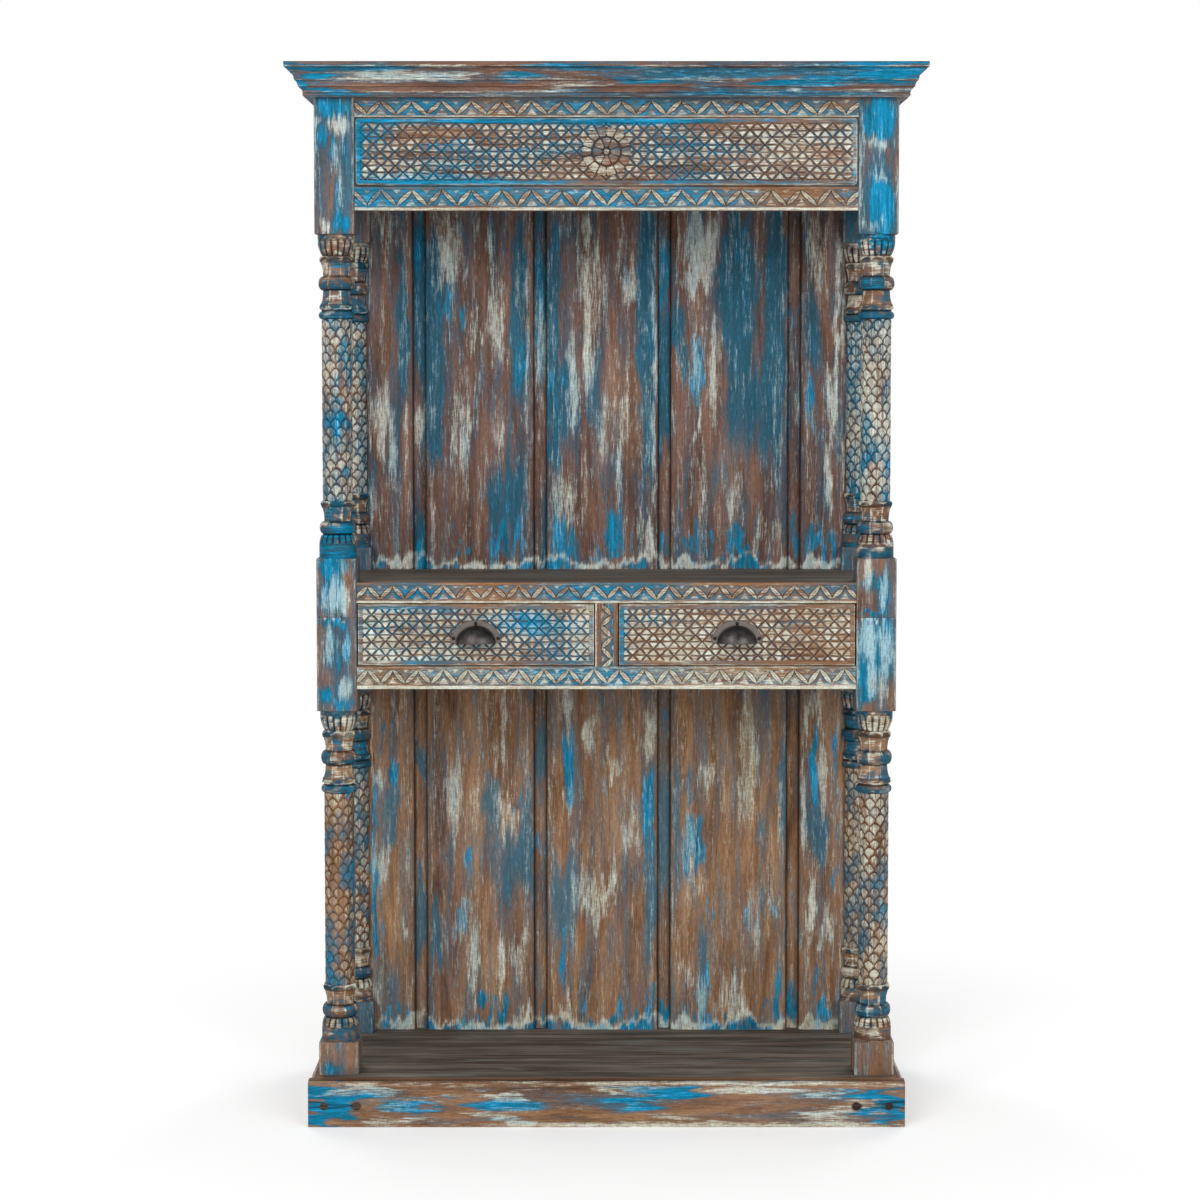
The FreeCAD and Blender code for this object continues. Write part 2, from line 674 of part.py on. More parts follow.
keep(notched_board("shelf_board", side_x, s.shelf_height - s.shelf_thickness, s.shelf_thickness))
keep(notched_board("dust_board", side_inner_x, drawer_floor_z - s.dust_board_thickness,
                   s.dust_board_thickness))
guide_z = (drawer_floor_z, drawer_floor_z + s.guide_height)
left_guide = box("left_outer_guide", (-side_inner_x, -inner_x), (front_back_y, rear_y), guide_z)
right_guide = box("right_outer_guide", (inner_x, side_inner_x), (front_back_y, rear_y), guide_z)
keep(group("drawer_outer_guides", left_guide, right_guide))
keep(box("drawer_centre_guide", (-stile_x, stile_x), (rail_back_y, plank_y),
         (drawer_floor_z, s.shelf_height - s.shelf_thickness)))

# Header: two carved rails, a frieze with a raised field and a rosette, and plain ends.
keep(front_rail("header_low_rail", header_low_z))
keep(front_rail("header_top_rail", header_top_z))
frieze = front_rail("header_panel_back", header_panel_z)

field = doc.addObject("PartDesign::Body", "header_field")
field_x = inner_x - s.panel_margin
field_z = s.header_panel_height / 2 - s.panel_margin
corner_depth = s.panel_corner * 0.292893
field_corner_x = field_x - s.panel_corner
field_corner_z = field_z - s.panel_corner
pad(field, "header_field_pad", outline(field, "header_field_outline", "XZ_Plane", [
    (-field_corner_x, -field_z),
    (field_corner_x, -field_z, ("out", corner_depth)),
    (field_x, -field_corner_z),
    (field_x, field_corner_z, ("out", corner_depth)),
    (field_corner_x, field_z),
    (-field_corner_x, field_z, ("out", corner_depth)),
    (-field_x, field_corner_z),
    (-field_x, -field_corner_z, ("out", corner_depth)),
]), s.panel_raise)
pad(field, "rosette_boss", circle(field, "rosette_boss_outline", "XZ_Plane", 0, 0, s.boss_radius),
    s.panel_raise + s.rosette_raise)
petal_in = s.petal_ring - s.petal_length / 2
petal_out = s.petal_ring + s.petal_length / 2
petal = pad(field, "rosette_petal", outline(field, "rosette_petal_outline", "XZ_Plane", [
    (petal_in, 0, ("out", s.petal_width / 2)),
    (petal_out, 0, ("out", s.petal_width / 2)),
]), s.panel_raise + s.rosette_raise)
ring_of(field, "rosette_petals", petal, "Y_Axis", ROSETTE_PETALS)
place(field, 0, rail_y, panel_z + s.header_panel_height / 2)
keep(joined("header_panel", frieze, field))

header_end = keep(side_board("header_left_end", header_end_z))
keep(mirrored("header_right_end", header_end))

# Cornice: one moulding profile, mitred at the two front corners.
bead_curve = s.cornice_bead_height / 2 * 0.8
low_step = s.cornice_base + s.cornice_step
cove_reach = low_step + s.cornice_cove_reach
face_start = cove_reach + s.cornice_step
face_reach = face_start + s.cornice_face_reach
hollow_start = face_reach + s.cornice_step
hollow_reach = hollow_start + s.cornice_cavetto_reach
cove_z = s.cornice_bead_height
face_z = cove_z + s.cornice_cove_height
hollow_z = face_z + s.cornice_face_height
quirk_z = hollow_z + s.cornice_cavetto_height
lip_z = quirk_z + s.cornice_quirk
moulding = [
    (0, 0),
    (s.cornice_base, 0, ("out", bead_curve)),
    (s.cornice_base, cove_z),
    (low_step, cove_z, ("in", s.cornice_step / 2)),
    (cove_reach, face_z),
    (face_start, face_z),
    (face_reach, hollow_z),
    (hollow_start, hollow_z, ("in", s.cornice_step)),
    (hollow_reach, quirk_z),
    (hollow_reach, lip_z),
    (cornice_reach, lip_z),
    (cornice_reach, cornice_height),
    (0, cornice_height),
]
cornice_x = outer_x + cornice_reach
cornice_y = front_y - cornice_reach
front_run = prism("cornice_front_run", "XZ_Plane", moulding, cornice_x * 2)
turn(front_run, (0, 0, 1), -90)
place(front_run, cornice_x, front_y, top_z - cornice_height)
front_mitre = prism("cornice_front_mitre", "XY_Plane", [
    (-outer_x, front_y), (-cornice_x, cornice_y), (cornice_x, cornice_y), (outer_x, front_y),
], cornice_height)
bind(front_mitre, "Placement.Base.z", top_z - cornice_height)
keep(shared("cornice_front", front_run, front_mitre))
left_run = prism("cornice_left_run", "XZ_Plane", moulding, back_y - cornice_y)
turn(left_run, (0, 0, 1), 180)
place(left_run, -outer_x, cornice_y, top_z - cornice_height)
left_mitre = prism("cornice_left_mitre", "XY_Plane", [
    (-outer_x, front_y), (-outer_x, back_y), (-cornice_x, back_y), (-cornice_x, cornice_y),
], cornice_height)
bind(left_mitre, "Placement.Base.z", top_z - cornice_height)
cornice_left = keep(shared("cornice_left", left_run, left_mitre))
keep(mirrored("cornice_right", cornice_left))
keep(box("top_board", (-outer_x, outer_x), (front_y, back_y), (post_top_z, top_z)))

# Back: planks with bevelled edges, strips behind their gaps and two rails.
plank_end = inner_x + s.rebate_depth
strip_lines = (-s.strip_one, -s.strip_two, s.strip_three, s.strip_four)
half_gap = s.plank_gap / 2
left_edges = [-plank_end] + [line + half_gap for line in strip_lines]
right_edges = [line - half_gap for line in strip_lines] + [plank_end]
for number, (left, right) in enumerate(zip(left_edges, right_edges), start=1):
    plank = prism("back_plank_%d" % number, "XY_Plane", [
        (left, strip_y),
        (left, plank_y + s.plank_bevel_depth),
        (left + s.plank_bevel, plank_y),
        (right - s.plank_bevel, plank_y),
        (right, plank_y + s.plank_bevel_depth),
        (right, strip_y),
    ], post_top_z - s.plinth_height)
    bind(plank, "Placement.Base.z", s.plinth_height)
    keep(plank)
strip_back_y = strip_y + s.strip_thickness
for number, line in enumerate(strip_lines, start=1):
    keep(box("back_strip_%d" % number, (line - s.strip_width / 2, line + s.strip_width / 2),
             (strip_y, strip_back_y), (s.plinth_height, post_top_z)))
back_rail_y = (strip_back_y, strip_back_y + s.back_rail_thickness)
keep(box("back_low_rail", (-plank_end, plank_end), back_rail_y,
         (s.back_low_rail_base, s.back_low_rail_base + s.back_rail_height)))
keep(box("back_top_rail", (-plank_end, plank_end), back_rail_y,
         (post_top_z - s.back_rail_height, post_top_z)))

# Left drawer; the right one is its mirror image.
drawer_x = (-inner_x + s.drawer_gap, -stile_x - s.drawer_gap)
drawer_middle = (drawer_x[0] + drawer_x[1]) / 2
front_z = (drawer_floor_z + s.drawer_gap, drawer_top_z - s.drawer_gap)
box_back_y = rail_back_y + s.drawer_length
run_z = drawer_floor_z + s.slide_clearance
drawer_side_z = (run_z, run_z + s.drawer_side_height)
bottom_z = (run_z + s.drawer_bottom_lift,
            run_z + s.drawer_bottom_lift + s.drawer_bottom_thickness)
dado_y = rail_back_y - s.drawer_dado
outer_side_x = (drawer_x[0], drawer_x[0] + s.drawer_side_thickness)
inner_side_x = (drawer_x[1] - s.drawer_side_thickness, drawer_x[1])
bottom_x = (outer_side_x[1] - s.drawer_groove, inner_side_x[0] + s.drawer_groove)
bottom_y = (rail_back_y - s.drawer_groove, box_back_y)
flange_z = (front_z[0] + front_z[1]) / 2 - s.pull_drop
side_front_z = (front_z[0], drawer_side_z[1])

screw_spots = (
    ("top", drawer_middle, flange_z + s.pull_top_screw),
    ("outer", drawer_middle - s.pull_side_screw, flange_z + s.pull_side_screw_rise),
    ("inner", drawer_middle + s.pull_side_screw, flange_z + s.pull_side_screw_rise),
)


def drawer_groove(name, x, y):
    return box(name, x, y, grown(bottom_z, play))


cutters = [
    box("drawer_outer_dado", (outer_side_x[0] - play, outer_side_x[1] + play),
        (dado_y - play, rail_back_y + play), (front_z[0] - play, side_front_z[1] + play)),
    box("drawer_inner_dado", (inner_side_x[0] - play, inner_side_x[1] + play),
        (dado_y - play, rail_back_y + play), (front_z[0] - play, side_front_z[1] + play)),
    drawer_groove("drawer_front_groove", (outer_side_x[1], inner_side_x[0]),
                  (bottom_y[0] - play, rail_back_y + play)),
]
for spot, x, z in screw_spots:
    cutters.append(rod("pilot_%s" % spot, s.screw_radius + play,
                       s.screw_length - s.pull_thickness + play, x, rail_y, z, into_front=True))
front_blank = box("left_drawer_front_board", drawer_x, (rail_y, rail_back_y), front_z)
drawer_parts = [minus("left_drawer_front", front_blank, *cutters)]
for hand, x, groove_x in (
        ("outer", outer_side_x, (bottom_x[0] - play, outer_side_x[1] + play)),
        ("inner", inner_side_x, (inner_side_x[0] - play, bottom_x[1] + play))):
    run = box("drawer_%s_run" % hand, x, (rail_back_y, box_back_y), drawer_side_z)
    tongue = box("drawer_%s_tongue" % hand, x, (dado_y, rail_back_y), side_front_z)
    blank = joined("drawer_%s_blank" % hand, run, tongue)
    groove = drawer_groove("drawer_%s_groove" % hand, groove_x,
                           (dado_y - play, box_back_y + play))
    drawer_parts.append(minus("left_drawer_%s_side" % hand, blank, groove))
drawer_parts.append(box("left_drawer_back", (outer_side_x[1], inner_side_x[0]),
                        (box_back_y - s.drawer_side_thickness, box_back_y),
                        (bottom_z[1], drawer_side_z[1] - s.drawer_bottom_lift)))
drawer_parts.append(box("left_drawer_bottom", bottom_x, bottom_y, bottom_z))

# Cup pull: a half-round flange with a cup that is open below.
pull = doc.addObject("PartDesign::Body", "left_drawer_pull")
half_flange = s.pull_width / 2
half_cup = s.cup_width / 2
half_hollow = half_cup - s.pull_thickness
hollow_reach = s.cup_reach - s.pull_thickness
pad(pull, "pull_flange", outline(pull, "pull_flange_outline", "XZ_Plane", [
    (half_flange, 0, ("out", s.pull_height)),
    (-half_flange, 0),
    (-half_hollow, 0, ("in", hollow_reach)),
    (half_hollow, 0),
]), s.pull_thickness)
cup = outline(pull, "pull_cup_outline", "XY_Plane", [
    (-half_cup, 0, ("out", s.cup_reach)),
    (half_cup, 0),
    (half_hollow, 0, ("in", hollow_reach)),
    (-half_hollow, 0),
])
revolve(pull, "pull_cup", cup, "H_Axis", 90, backward=True)
for spot, x, z in (("top", 0, s.pull_top_screw),
                   ("outer", -s.pull_side_screw, s.pull_side_screw_rise),
                   ("inner", s.pull_side_screw, s.pull_side_screw_rise)):
    hole = pull.newObject("PartDesign::Pocket", "pull_%s_hole" % spot)
    hole.Profile = circle(pull, "pull_%s_hole_outline" % spot, "XZ_Plane", x, z,
                          s.screw_radius + play)
    hole.Reversed = True
    bind(hole, "Length", s.pull_thickness + play)
place(pull, drawer_middle, rail_y, flange_z)
drawer_parts.append(pull)

screws = []
for spot, x, z in screw_spots:
    shank = rod("pull_%s_shank" % spot, s.screw_radius, s.screw_length, x,
                rail_y - s.pull_thickness, z, into_front=True)
    head = doc.addObject("Part::Cone", "pull_%s_head" % spot)
    bind(head, "Radius1", s.screw_head_radius)
    bind(head, "Radius2", s.screw_head_radius / 2)
    bind(head, "Height", s.screw_head_height)
    turn(head, (1, 0, 0), 90)
    place(head, x, rail_y - s.pull_thickness, z)
    screws.append(joined("pull_%s_screw" % spot, shank, head))
drawer_parts.append(group("left_drawer_pull_screws", *screws))

for piece in drawer_parts:
    keep(piece)
    keep(mirrored(piece.Name.replace("left", "right", 1), piece))

doc.recompute()

faults = []
for thing in doc.Objects:
    if "Invalid" in thing.State or "Error" in thing.State:
        faults.append("%s: %s" % (thing.Label, ", ".join(thing.State)))
for piece in parts:
    piece.Label = piece.Name
    if piece.Shape.isNull() or not piece.Shape.isValid():
        faults.append("%s: shape is null or not valid" % piece.Label)
if faults:
    raise RuntimeError("; ".join(faults))

os.makedirs("parts", exist_ok=True)
for piece in parts:
    piece.Shape.exportStep("parts/%s.step" % piece.Label)
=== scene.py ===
"""A carved shelving unit in worn blue paint: its looks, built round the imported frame."""
import math
import bpy
import numpy as np
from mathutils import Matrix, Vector


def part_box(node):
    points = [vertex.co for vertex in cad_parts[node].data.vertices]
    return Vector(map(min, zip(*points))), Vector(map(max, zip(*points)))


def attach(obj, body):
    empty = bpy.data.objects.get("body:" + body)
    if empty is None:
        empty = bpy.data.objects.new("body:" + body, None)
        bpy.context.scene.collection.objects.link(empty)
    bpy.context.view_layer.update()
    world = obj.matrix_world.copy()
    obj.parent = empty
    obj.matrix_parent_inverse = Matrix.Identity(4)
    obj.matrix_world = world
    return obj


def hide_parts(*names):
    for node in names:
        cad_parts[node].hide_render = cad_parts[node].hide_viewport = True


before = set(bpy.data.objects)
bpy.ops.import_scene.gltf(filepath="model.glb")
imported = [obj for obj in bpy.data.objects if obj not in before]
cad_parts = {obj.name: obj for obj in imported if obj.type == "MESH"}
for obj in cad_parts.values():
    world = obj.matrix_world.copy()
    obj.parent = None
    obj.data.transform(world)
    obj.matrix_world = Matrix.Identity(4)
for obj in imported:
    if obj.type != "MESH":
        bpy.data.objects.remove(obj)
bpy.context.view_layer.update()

# Sizes in millimetres unless a comment says otherwise. X runs along the front, Y back, Z up.
MM = 0.001
X, Y, Z = 0, 1, 2
DRAWERS = ("left_drawer", "right_drawer")
FACINGS = (("front", 0), ("left", -1), ("right", 1))

# Camera, in metres and degrees
CAMERA_PLACE = (0.0, -4.685, 1.318)
CAMERA_TILT = 3.0
CAMERA_LENS = 78.0
CAMERA_SHIFT = (-0.0054, -0.076)

# Random patches: values along a side of their table, and a stroke's length in widths
TABLE_SIDE = 64
STROKE_LENGTH = 16

# Sizes and seeds of the patches in which carving drifts (along and up), boards wave and paint changes
ZIGZAG_DRIFT = ((26.0, 21), (20.0, 22))
LATTICE_DRIFT = ((24.0, 23), (20.0, 24))
SCALE_DRIFT = ((22.0, 25), (18.0, 26))
PLANK_WAVES = (24.0, 5)
PLANK_ASIDE = (26.0, 33)
SPLASH_WAVES = (24.0, 35)
SPLASH_CHIPS = (8.0, 36)
SPLASH_WET = (42.0, 38)
RAIL_WAVES = (18.0, 3)
CORNICE_WAVES = (40.0, 2)
PLINTH_WAVES = (30.0, 4)
PLINTH_MOOD = (60.0, 9)

# Seeds of the tints of carved cells
LATTICE_SEED, SCALE_SEED, LEAF_SEED, PETAL_SEED = 27, 28, 29, 37

# Worn arrises of boards: their radius, the points along one, and the angle in degrees that stays sharp
ARRIS = 1.4
ARRIS_POINTS = 4
SHARP_ANGLE = 38.0

# Turned posts
POST_SIDES = 144
REAR_POST_SIDES = 96
BLOCK_CHAMFER = 3.2
BLOCK_STEP = 6.0
TURNED_STEP = 1.3
LOWER_BLOCKS = (58.5, 164.5)
UPPER_BLOCKS = (103.5, 272.0)
FOOT_HEIGHT = 99.5
CAP_HEIGHT = 146.5
SHAFT_RADIUS = 26.5
NECK_RADIUS = 25.0
DRUM_RADIUS = 32.6
BELL_SWELL = 7.6
TORUS_SWELL = 7.4
NECK_LIP_SWELL = 7.0
SHAFT_LIP_SWELL = 5.5
RING_SWELL = 5.0
LIP_CUT = 2.6
PETALS = 8
BELL_PETALS = 16
SCALES_ROUND = 8
SCALE_ROW = 14.4
SCALE_ARCH = 0.62
SCALE_CUT = 2.8
PETAL_CUT = 1.9
REBATE_DEPTH = 15.0
POST_STROKE = (5.0, 8.0)
MOOD_SIZE = 60.0
MOTTLE_SIZE = 22.0
FLECK_SIZE = 7.0
RAGGED_SIZE = 6.0
RING_START = 200.0
RING_REACH = 30.0

# Carved bands and fields
RAIL_STEP = 0.85
STILE_STEP = 0.75
HEADER_STEP = 1.08
DRAWER_STEP = 0.7
LEAF_CUT = 2.4
LEAF_HALF_WIDTH = 4.4
LEAF_LINE = 0.9
VEIN_LINE = 0.7
GROUND_RUN = 9.0
TRIANGLE_RAISE = 1.2
RAIL_UNEVEN = 0.15
DRAWER_LEAF_PERIOD = 44.0
HEADER_LEAF_PERIOD = 52.0
STILE_LEAF_PERIOD = 38.0
BAND_MARGIN = 4.0
LATTICE_CUT = 2.4
HAND_DRIFT = 1.3
HEADER_DIAMOND = (26.1, 24.4)
DRAWER_DIAMOND = (24.4, 24.4)
TRIANGLE_BASE = 0.56
FIELD_GAP = 2.0
FIELD_BORDER = 8.5
FIELD_CORNER = 7.0
FIELD_RAISE = 5.0
ROSETTE_RADIUS = 43.0
ROSETTE_RAISE = 2.4
BUTTON_RADIUS = 6.0
INNER_PETAL_REACH = 24.0
INNER_PETALS = 8
OUTER_PETALS = 14
PETAL_SINK = 1.8
PETAL_MIDDLE = 15.0

# Drawer pulls
PULL_PLATE = 2.0
CUP_SHARE = 0.78
CUP_POINTS = 18
PULL_RINGS = 73
# Height of the painted highlight along the cup's lower edge
CUP_HIGHLIGHT_HEIGHT = 9.0

# Planks
PLANK_BEVEL = (12.0, 4.0)
STRIP_SHOWN = 24.0
PLANK_STROKE = (8.0, 38.0, 31)
PLANK_STEPS = (7.0, 2.6)
STRIP_STEPS = (8.0, 3.0)
PLANK_UNEVEN = 0.35
PLANK_SWAY = 5.0
PLANK_WORN = 4.0
# Widths of the painted shade along the edges of planks and strips
PLANK_SEAM_SHADE = 2.5
STRIP_SEAM_SHADE = 4.5

# Paint masks on the unpainted backs of boards
BARE_BACK = {"blue": -0.5, "glaze": -0.5, "cream": -0.5, "dark": 0.0, "tan": 0.5}

# Share of the usual gloss that the worn paint keeps
PAINT_SHEEN = 0.1

# Where the lower bay's paler wood gives way to the upper bay's darker wood
TAN_TOP = 760.0
TAN_FADE = 120.0


# Numbers and curves

def smooth(value, low, high):
    """Rises from 0 to 1 between low and high."""
    share = np.clip((value - low) / (high - low), 0, 1)
    return share * share * (3 - 2 * share)


def random_table(seed):
    """A square table of random values from -1 to 1."""
    return np.random.RandomState(seed).uniform(-1, 1, (TABLE_SIDE, TABLE_SIDE))


def wobble(across, up, size, seed):
    """Smooth random values from -1 to 1 in patches of about one size."""
    table = random_table(seed)
    a, b = across / size, up / size
    i, j = np.floor(a).astype(int), np.floor(b).astype(int)
    s, t = smooth(a - i, 0, 1), smooth(b - j, 0, 1)

    def corner(di, dj):
        return table[(i + di) % TABLE_SIDE, (j + dj) % TABLE_SIDE]

    low = corner(0, 0) * (1 - s) + corner(1, 0) * s
    high = corner(0, 1) * (1 - s) + corner(1, 1) * s
    return low * (1 - t) + high * t


def ring_wobble(angle, up, size, seed):
    """Smooth random values round a turning, with no seam where the angle starts again."""
    return wobble(RING_START + RING_REACH * np.cos(angle), up + RING_REACH * np.sin(angle), size, seed)


def cell_tint(row, column, seed):
    """A random value from -1 to 1 for each cell of a carved pattern."""
    return random_table(seed)[row.astype(int) % TABLE_SIDE, column.astype(int) % TABLE_SIDE]


def span(node):
    """A node's lowest and highest corners in millimetres."""
    low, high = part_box(node)
    return np.array(low) / MM, np.array(high) / MM


def stations(low, high, step):
    """Places along a length, close together over the eased ends."""
    count = max(2, int(round((high - low - 2 * ARRIS) / step)) + 1)
    curve = ARRIS * (1 - np.cos(np.linspace(0, math.pi / 2, ARRIS_POINTS)))
    between = np.linspace(low + ARRIS, high - ARRIS, count)
    return np.concatenate([low + curve[:-1], between, high - curve[-2::-1]])


def eased(value, low, high):
    """How far a rounded arris falls away at each place between two edges."""
    inside = np.clip(np.minimum(value - low, high - value), 0, ARRIS)
    return ARRIS - np.sqrt(ARRIS ** 2 - (ARRIS - inside) ** 2)


def spots(across, up, places):
    """The sum of soft-edged spots, each (across, up, half width, half height, amount)."""
    total = np.zeros(np.broadcast(across, up).shape)
    for place_across, place_up, wide, tall, amount in places:
        away = ((across - place_across) / wide) ** 2 + ((up - place_up) / tall) ** 2
        total += amount * np.exp(-away ** 2)
    return total


def stroked(across, along, width, reach, seed):
    """Places along the grain, shifted by strips of a width, so that spots end in ragged strokes."""
    wide = wobble(across, along / STROKE_LENGTH, width, seed)
    fine = wobble(across, along / (STROKE_LENGTH / 2), width / 2, seed + 1)
    return along + reach * wide + reach / 2 * fine


# Meshes

def loft(name, rings, coat, material, nodes, body="frame"):
    """A closed mesh through rings of points, which stands for CAD nodes and carries a coat of paint."""
    count, around = rings.shape[:2]
    index = np.arange(count * around).reshape(count, around)
    after = np.roll(index, -1, axis=1)
    quads = np.stack([index[:-1], after[:-1], after[1:], index[1:]], axis=-1).reshape(-1, 4)
    caps = np.stack([index[0, ::-1], index[-1]])
    points = rings.reshape(-1, 3) * MM
    centred = points - points.mean(0)
    volume = np.einsum("ij,ij->", centred[quads[:, 0]], np.cross(centred[quads[:, 1]], centred[quads[:, 3]]))
    if volume < 0:
        quads, caps = quads[:, ::-1], caps[:, ::-1]
    loops = np.concatenate([quads.ravel(), caps.ravel()]).astype(np.int32)
    starts = np.concatenate([np.arange(len(quads)) * 4, len(quads) * 4 + np.arange(2) * around])
    mesh = bpy.data.meshes.new(name)
    mesh.vertices.add(len(points))
    mesh.vertices.foreach_set("co", points.astype(np.float32).ravel())
    mesh.loops.add(len(loops))
    mesh.loops.foreach_set("vertex_index", loops)
    mesh.polygons.add(len(starts))
    mesh.polygons.foreach_set("loop_start", starts.astype(np.int32))
    mesh.update(calc_edges=True)
    mesh.validate()
    mesh.polygons.foreach_set("use_smooth", np.ones(len(mesh.polygons), bool))
    mesh.set_sharp_from_angle(angle=math.radians(SHARP_ANGLE))
    for key, values in coat.items():
        attribute = mesh.attributes.new(key, "FLOAT", "POINT")
        values = np.broadcast_to(values, (count, around)).astype(np.float32)
        attribute.data.foreach_set("value", values.ravel())
    mesh.materials.append(material)
    piece = bpy.data.objects.new(name, mesh)
    bpy.context.scene.collection.objects.link(piece)
    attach(piece, body)
    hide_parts(*nodes)


def board(kind, node, axes, grid, front, back, material, body="frame", **masks):
    """A board whose face is a grid with paint masks over it, and whose back stays bare wood.

    The axes are the along, across and facing axes. The kind names the piece.
    """
    along, across = grid
    face = np.stack([along, across, front], axis=-1)
    ends = np.stack([along[:, :2], across[:, [-1, 0]], np.full((len(along), 2), back)], axis=-1)
    rings = np.concatenate([face, ends], axis=1)[..., np.argsort(axes)]
    coat = {}
    for name, values in masks.items():
        bare = np.full((len(along), 2), BARE_BACK[name])
        coat[name] = np.concatenate([np.broadcast_to(values, along.shape), bare], axis=1)
    loft(f"{kind}_{node}", rings, coat, material, [node], body)


def face_grid(low, high, axes, steps):
    """The along and across places of a board's face as two grids."""
    along = stations(low[axes[0]], high[axes[0]], steps[0])
    across = stations(low[axes[1]], high[axes[1]], steps[1])
    return np.meshgrid(along, across, indexing="ij")


def tan_share(up):
    """1 in the paler lower bay, 0 in the darker upper bay."""
    return 1 - smooth(up, TAN_TOP - TAN_FADE, TAN_TOP + TAN_FADE)


# Materials

def srgb(red, green, blue):
    """A colour as it is seen, 0 to 255, as a linear one with alpha."""
    share = np.array([red, green, blue]) / 255
    linear = np.where(share <= 0.04045, share / 12.92, ((share + 0.055) / 1.055) ** 2.4)
    return (*linear.tolist(), 1.0)


class Finish:
    """Short calls that build one material's nodes."""

    def __init__(self, name):
        self.material = bpy.data.materials.new(name)
        self.material.use_nodes = True
        self.tree = self.material.node_tree
        self.shader = self.tree.nodes["Principled BSDF"]
        self.place = self.tree.nodes.new("ShaderNodeTexCoord").outputs["Object"]
        self.turned = None

    def feed(self, socket, value):
        if isinstance(value, bpy.types.NodeSocket):
            self.tree.links.new(value, socket)
        else:
            socket.default_value = value

    def node(self, kind, inputs, output=0, **settings):
        made = self.tree.nodes.new(kind)
        for key, value in settings.items():
            setattr(made, key, value)
        for key, value in inputs.items():
            self.feed(made.inputs[key], value)
        return made.outputs[output]

    def math(self, operation, first, second):
        return self.node("ShaderNodeMath", {0: first, 1: second}, operation=operation)

    def total(self, *terms):
        """The sum of (value, weight) pairs, each value taken about one half."""
        result = 0.0
        for value, weight in terms:
            inputs = {0: value, 1: weight, 2: -0.5 * weight}
            part = self.node("ShaderNodeMath", inputs, operation="MULTIPLY_ADD")
            result = self.math("ADD", part, result)
        return result

    def tone(self, *terms):
        """The same sum, set about one half, to pick a colour from a ramp."""
        return self.math("ADD", self.total(*terms), 0.5)

    def mix(self, share, first, second, blend="MIX"):
        inputs = {0: share, 6: first, 7: second}
        return self.node("ShaderNodeMix", inputs, 2, data_type="RGBA", blend_type=blend)

    def band(self, value, low, high):
        inputs = {"Value": value, "From Min": low, "From Max": high}
        return self.node("ShaderNodeMapRange", inputs, interpolation_type="SMOOTHSTEP")

    def ramp(self, value, *stops):
        made = self.tree.nodes.new("ShaderNodeValToRGB")
        elements = made.color_ramp.elements
        while len(elements) < len(stops):
            elements.new(1.0)
        for element, (position, colour) in zip(elements, stops):
            element.position = position
            element.color = colour
        self.feed(made.inputs[0], value)
        return made.outputs[0]

    def stretched(self, size, axes, stretch, start):
        """Places counted in marks of a size, with some axes stretched."""
        scale = [1 / (size * MM) / (stretch if axis in axes else 1) for axis in (X, Y, Z)]
        return self.node("ShaderNodeMapping", {"Vector": self.place, "Scale": scale, "Location": [start] * 3})

    def noise(self, size, grain, stretch, detail, rough, swirl=0.0, start=0.0):
        """Marks of a size in millimetres across the grain, stretched along its axis, or round a turning."""
        moved = self.stretched(size, [] if grain is None else [grain], stretch, start)
        if self.turned:
            inputs = {0: self.turned, 4: moved, 5: self.stretched(size, [X, Y], stretch, start)}
            moved = self.node("ShaderNodeMix", inputs, 1, data_type="VECTOR")
        inputs = {"Vector": moved, "Scale": 1.0, "Detail": detail, "Roughness": rough, "Distortion": swirl}
        return self.node("ShaderNodeTexNoise", inputs)

    def mask(self, name):
        return self.node("ShaderNodeAttribute", {}, "Fac", attribute_name=name)

    def finish(self, colour, rough, bump, depth):
        """Colour, roughness and a bump of a depth in millimetres go to the shader."""
        inputs = {"Height": bump, "Distance": depth * MM, "Strength": 1.0}
        self.feed(self.shader.inputs["Base Color"], colour)
        self.feed(self.shader.inputs["Roughness"], rough)
        self.feed(self.shader.inputs["Normal"], self.node("ShaderNodeBump", inputs))
        return self.material


def wood_colour(finish, grain):
    """Smooth brown wood, darker or more tan by the tan mask, with a quiet grain."""
    figure = finish.noise(34, grain, 8, 5, 0.6, 0.9)
    fine = finish.noise(1.8, grain, 40, 4, 0.6, 0.0, 7.0)
    tone = finish.tone((figure, 1.0), (fine, 0.5))
    dark = finish.ramp(tone, (0.24, srgb(58, 45, 40)), (0.5, srgb(109, 80, 67)), (0.76, srgb(138, 106, 92)))
    pale = finish.ramp(tone, (0.24, srgb(84, 58, 40)), (0.5, srgb(144, 106, 74)), (0.76, srgb(182, 144, 106)))
    return finish.mix(finish.mask("tan"), dark, pale), fine


def coverage(finish, mask, amount, edges, most, *terms):
    """How far one coat of paint covers the wood: noises and a mask, between two edges."""
    wanted = finish.math("ADD", finish.mask(mask), amount)
    field = finish.math("ADD", finish.total(*terms), wanted)
    return finish.math("MULTIPLY", finish.band(field, *edges), most)


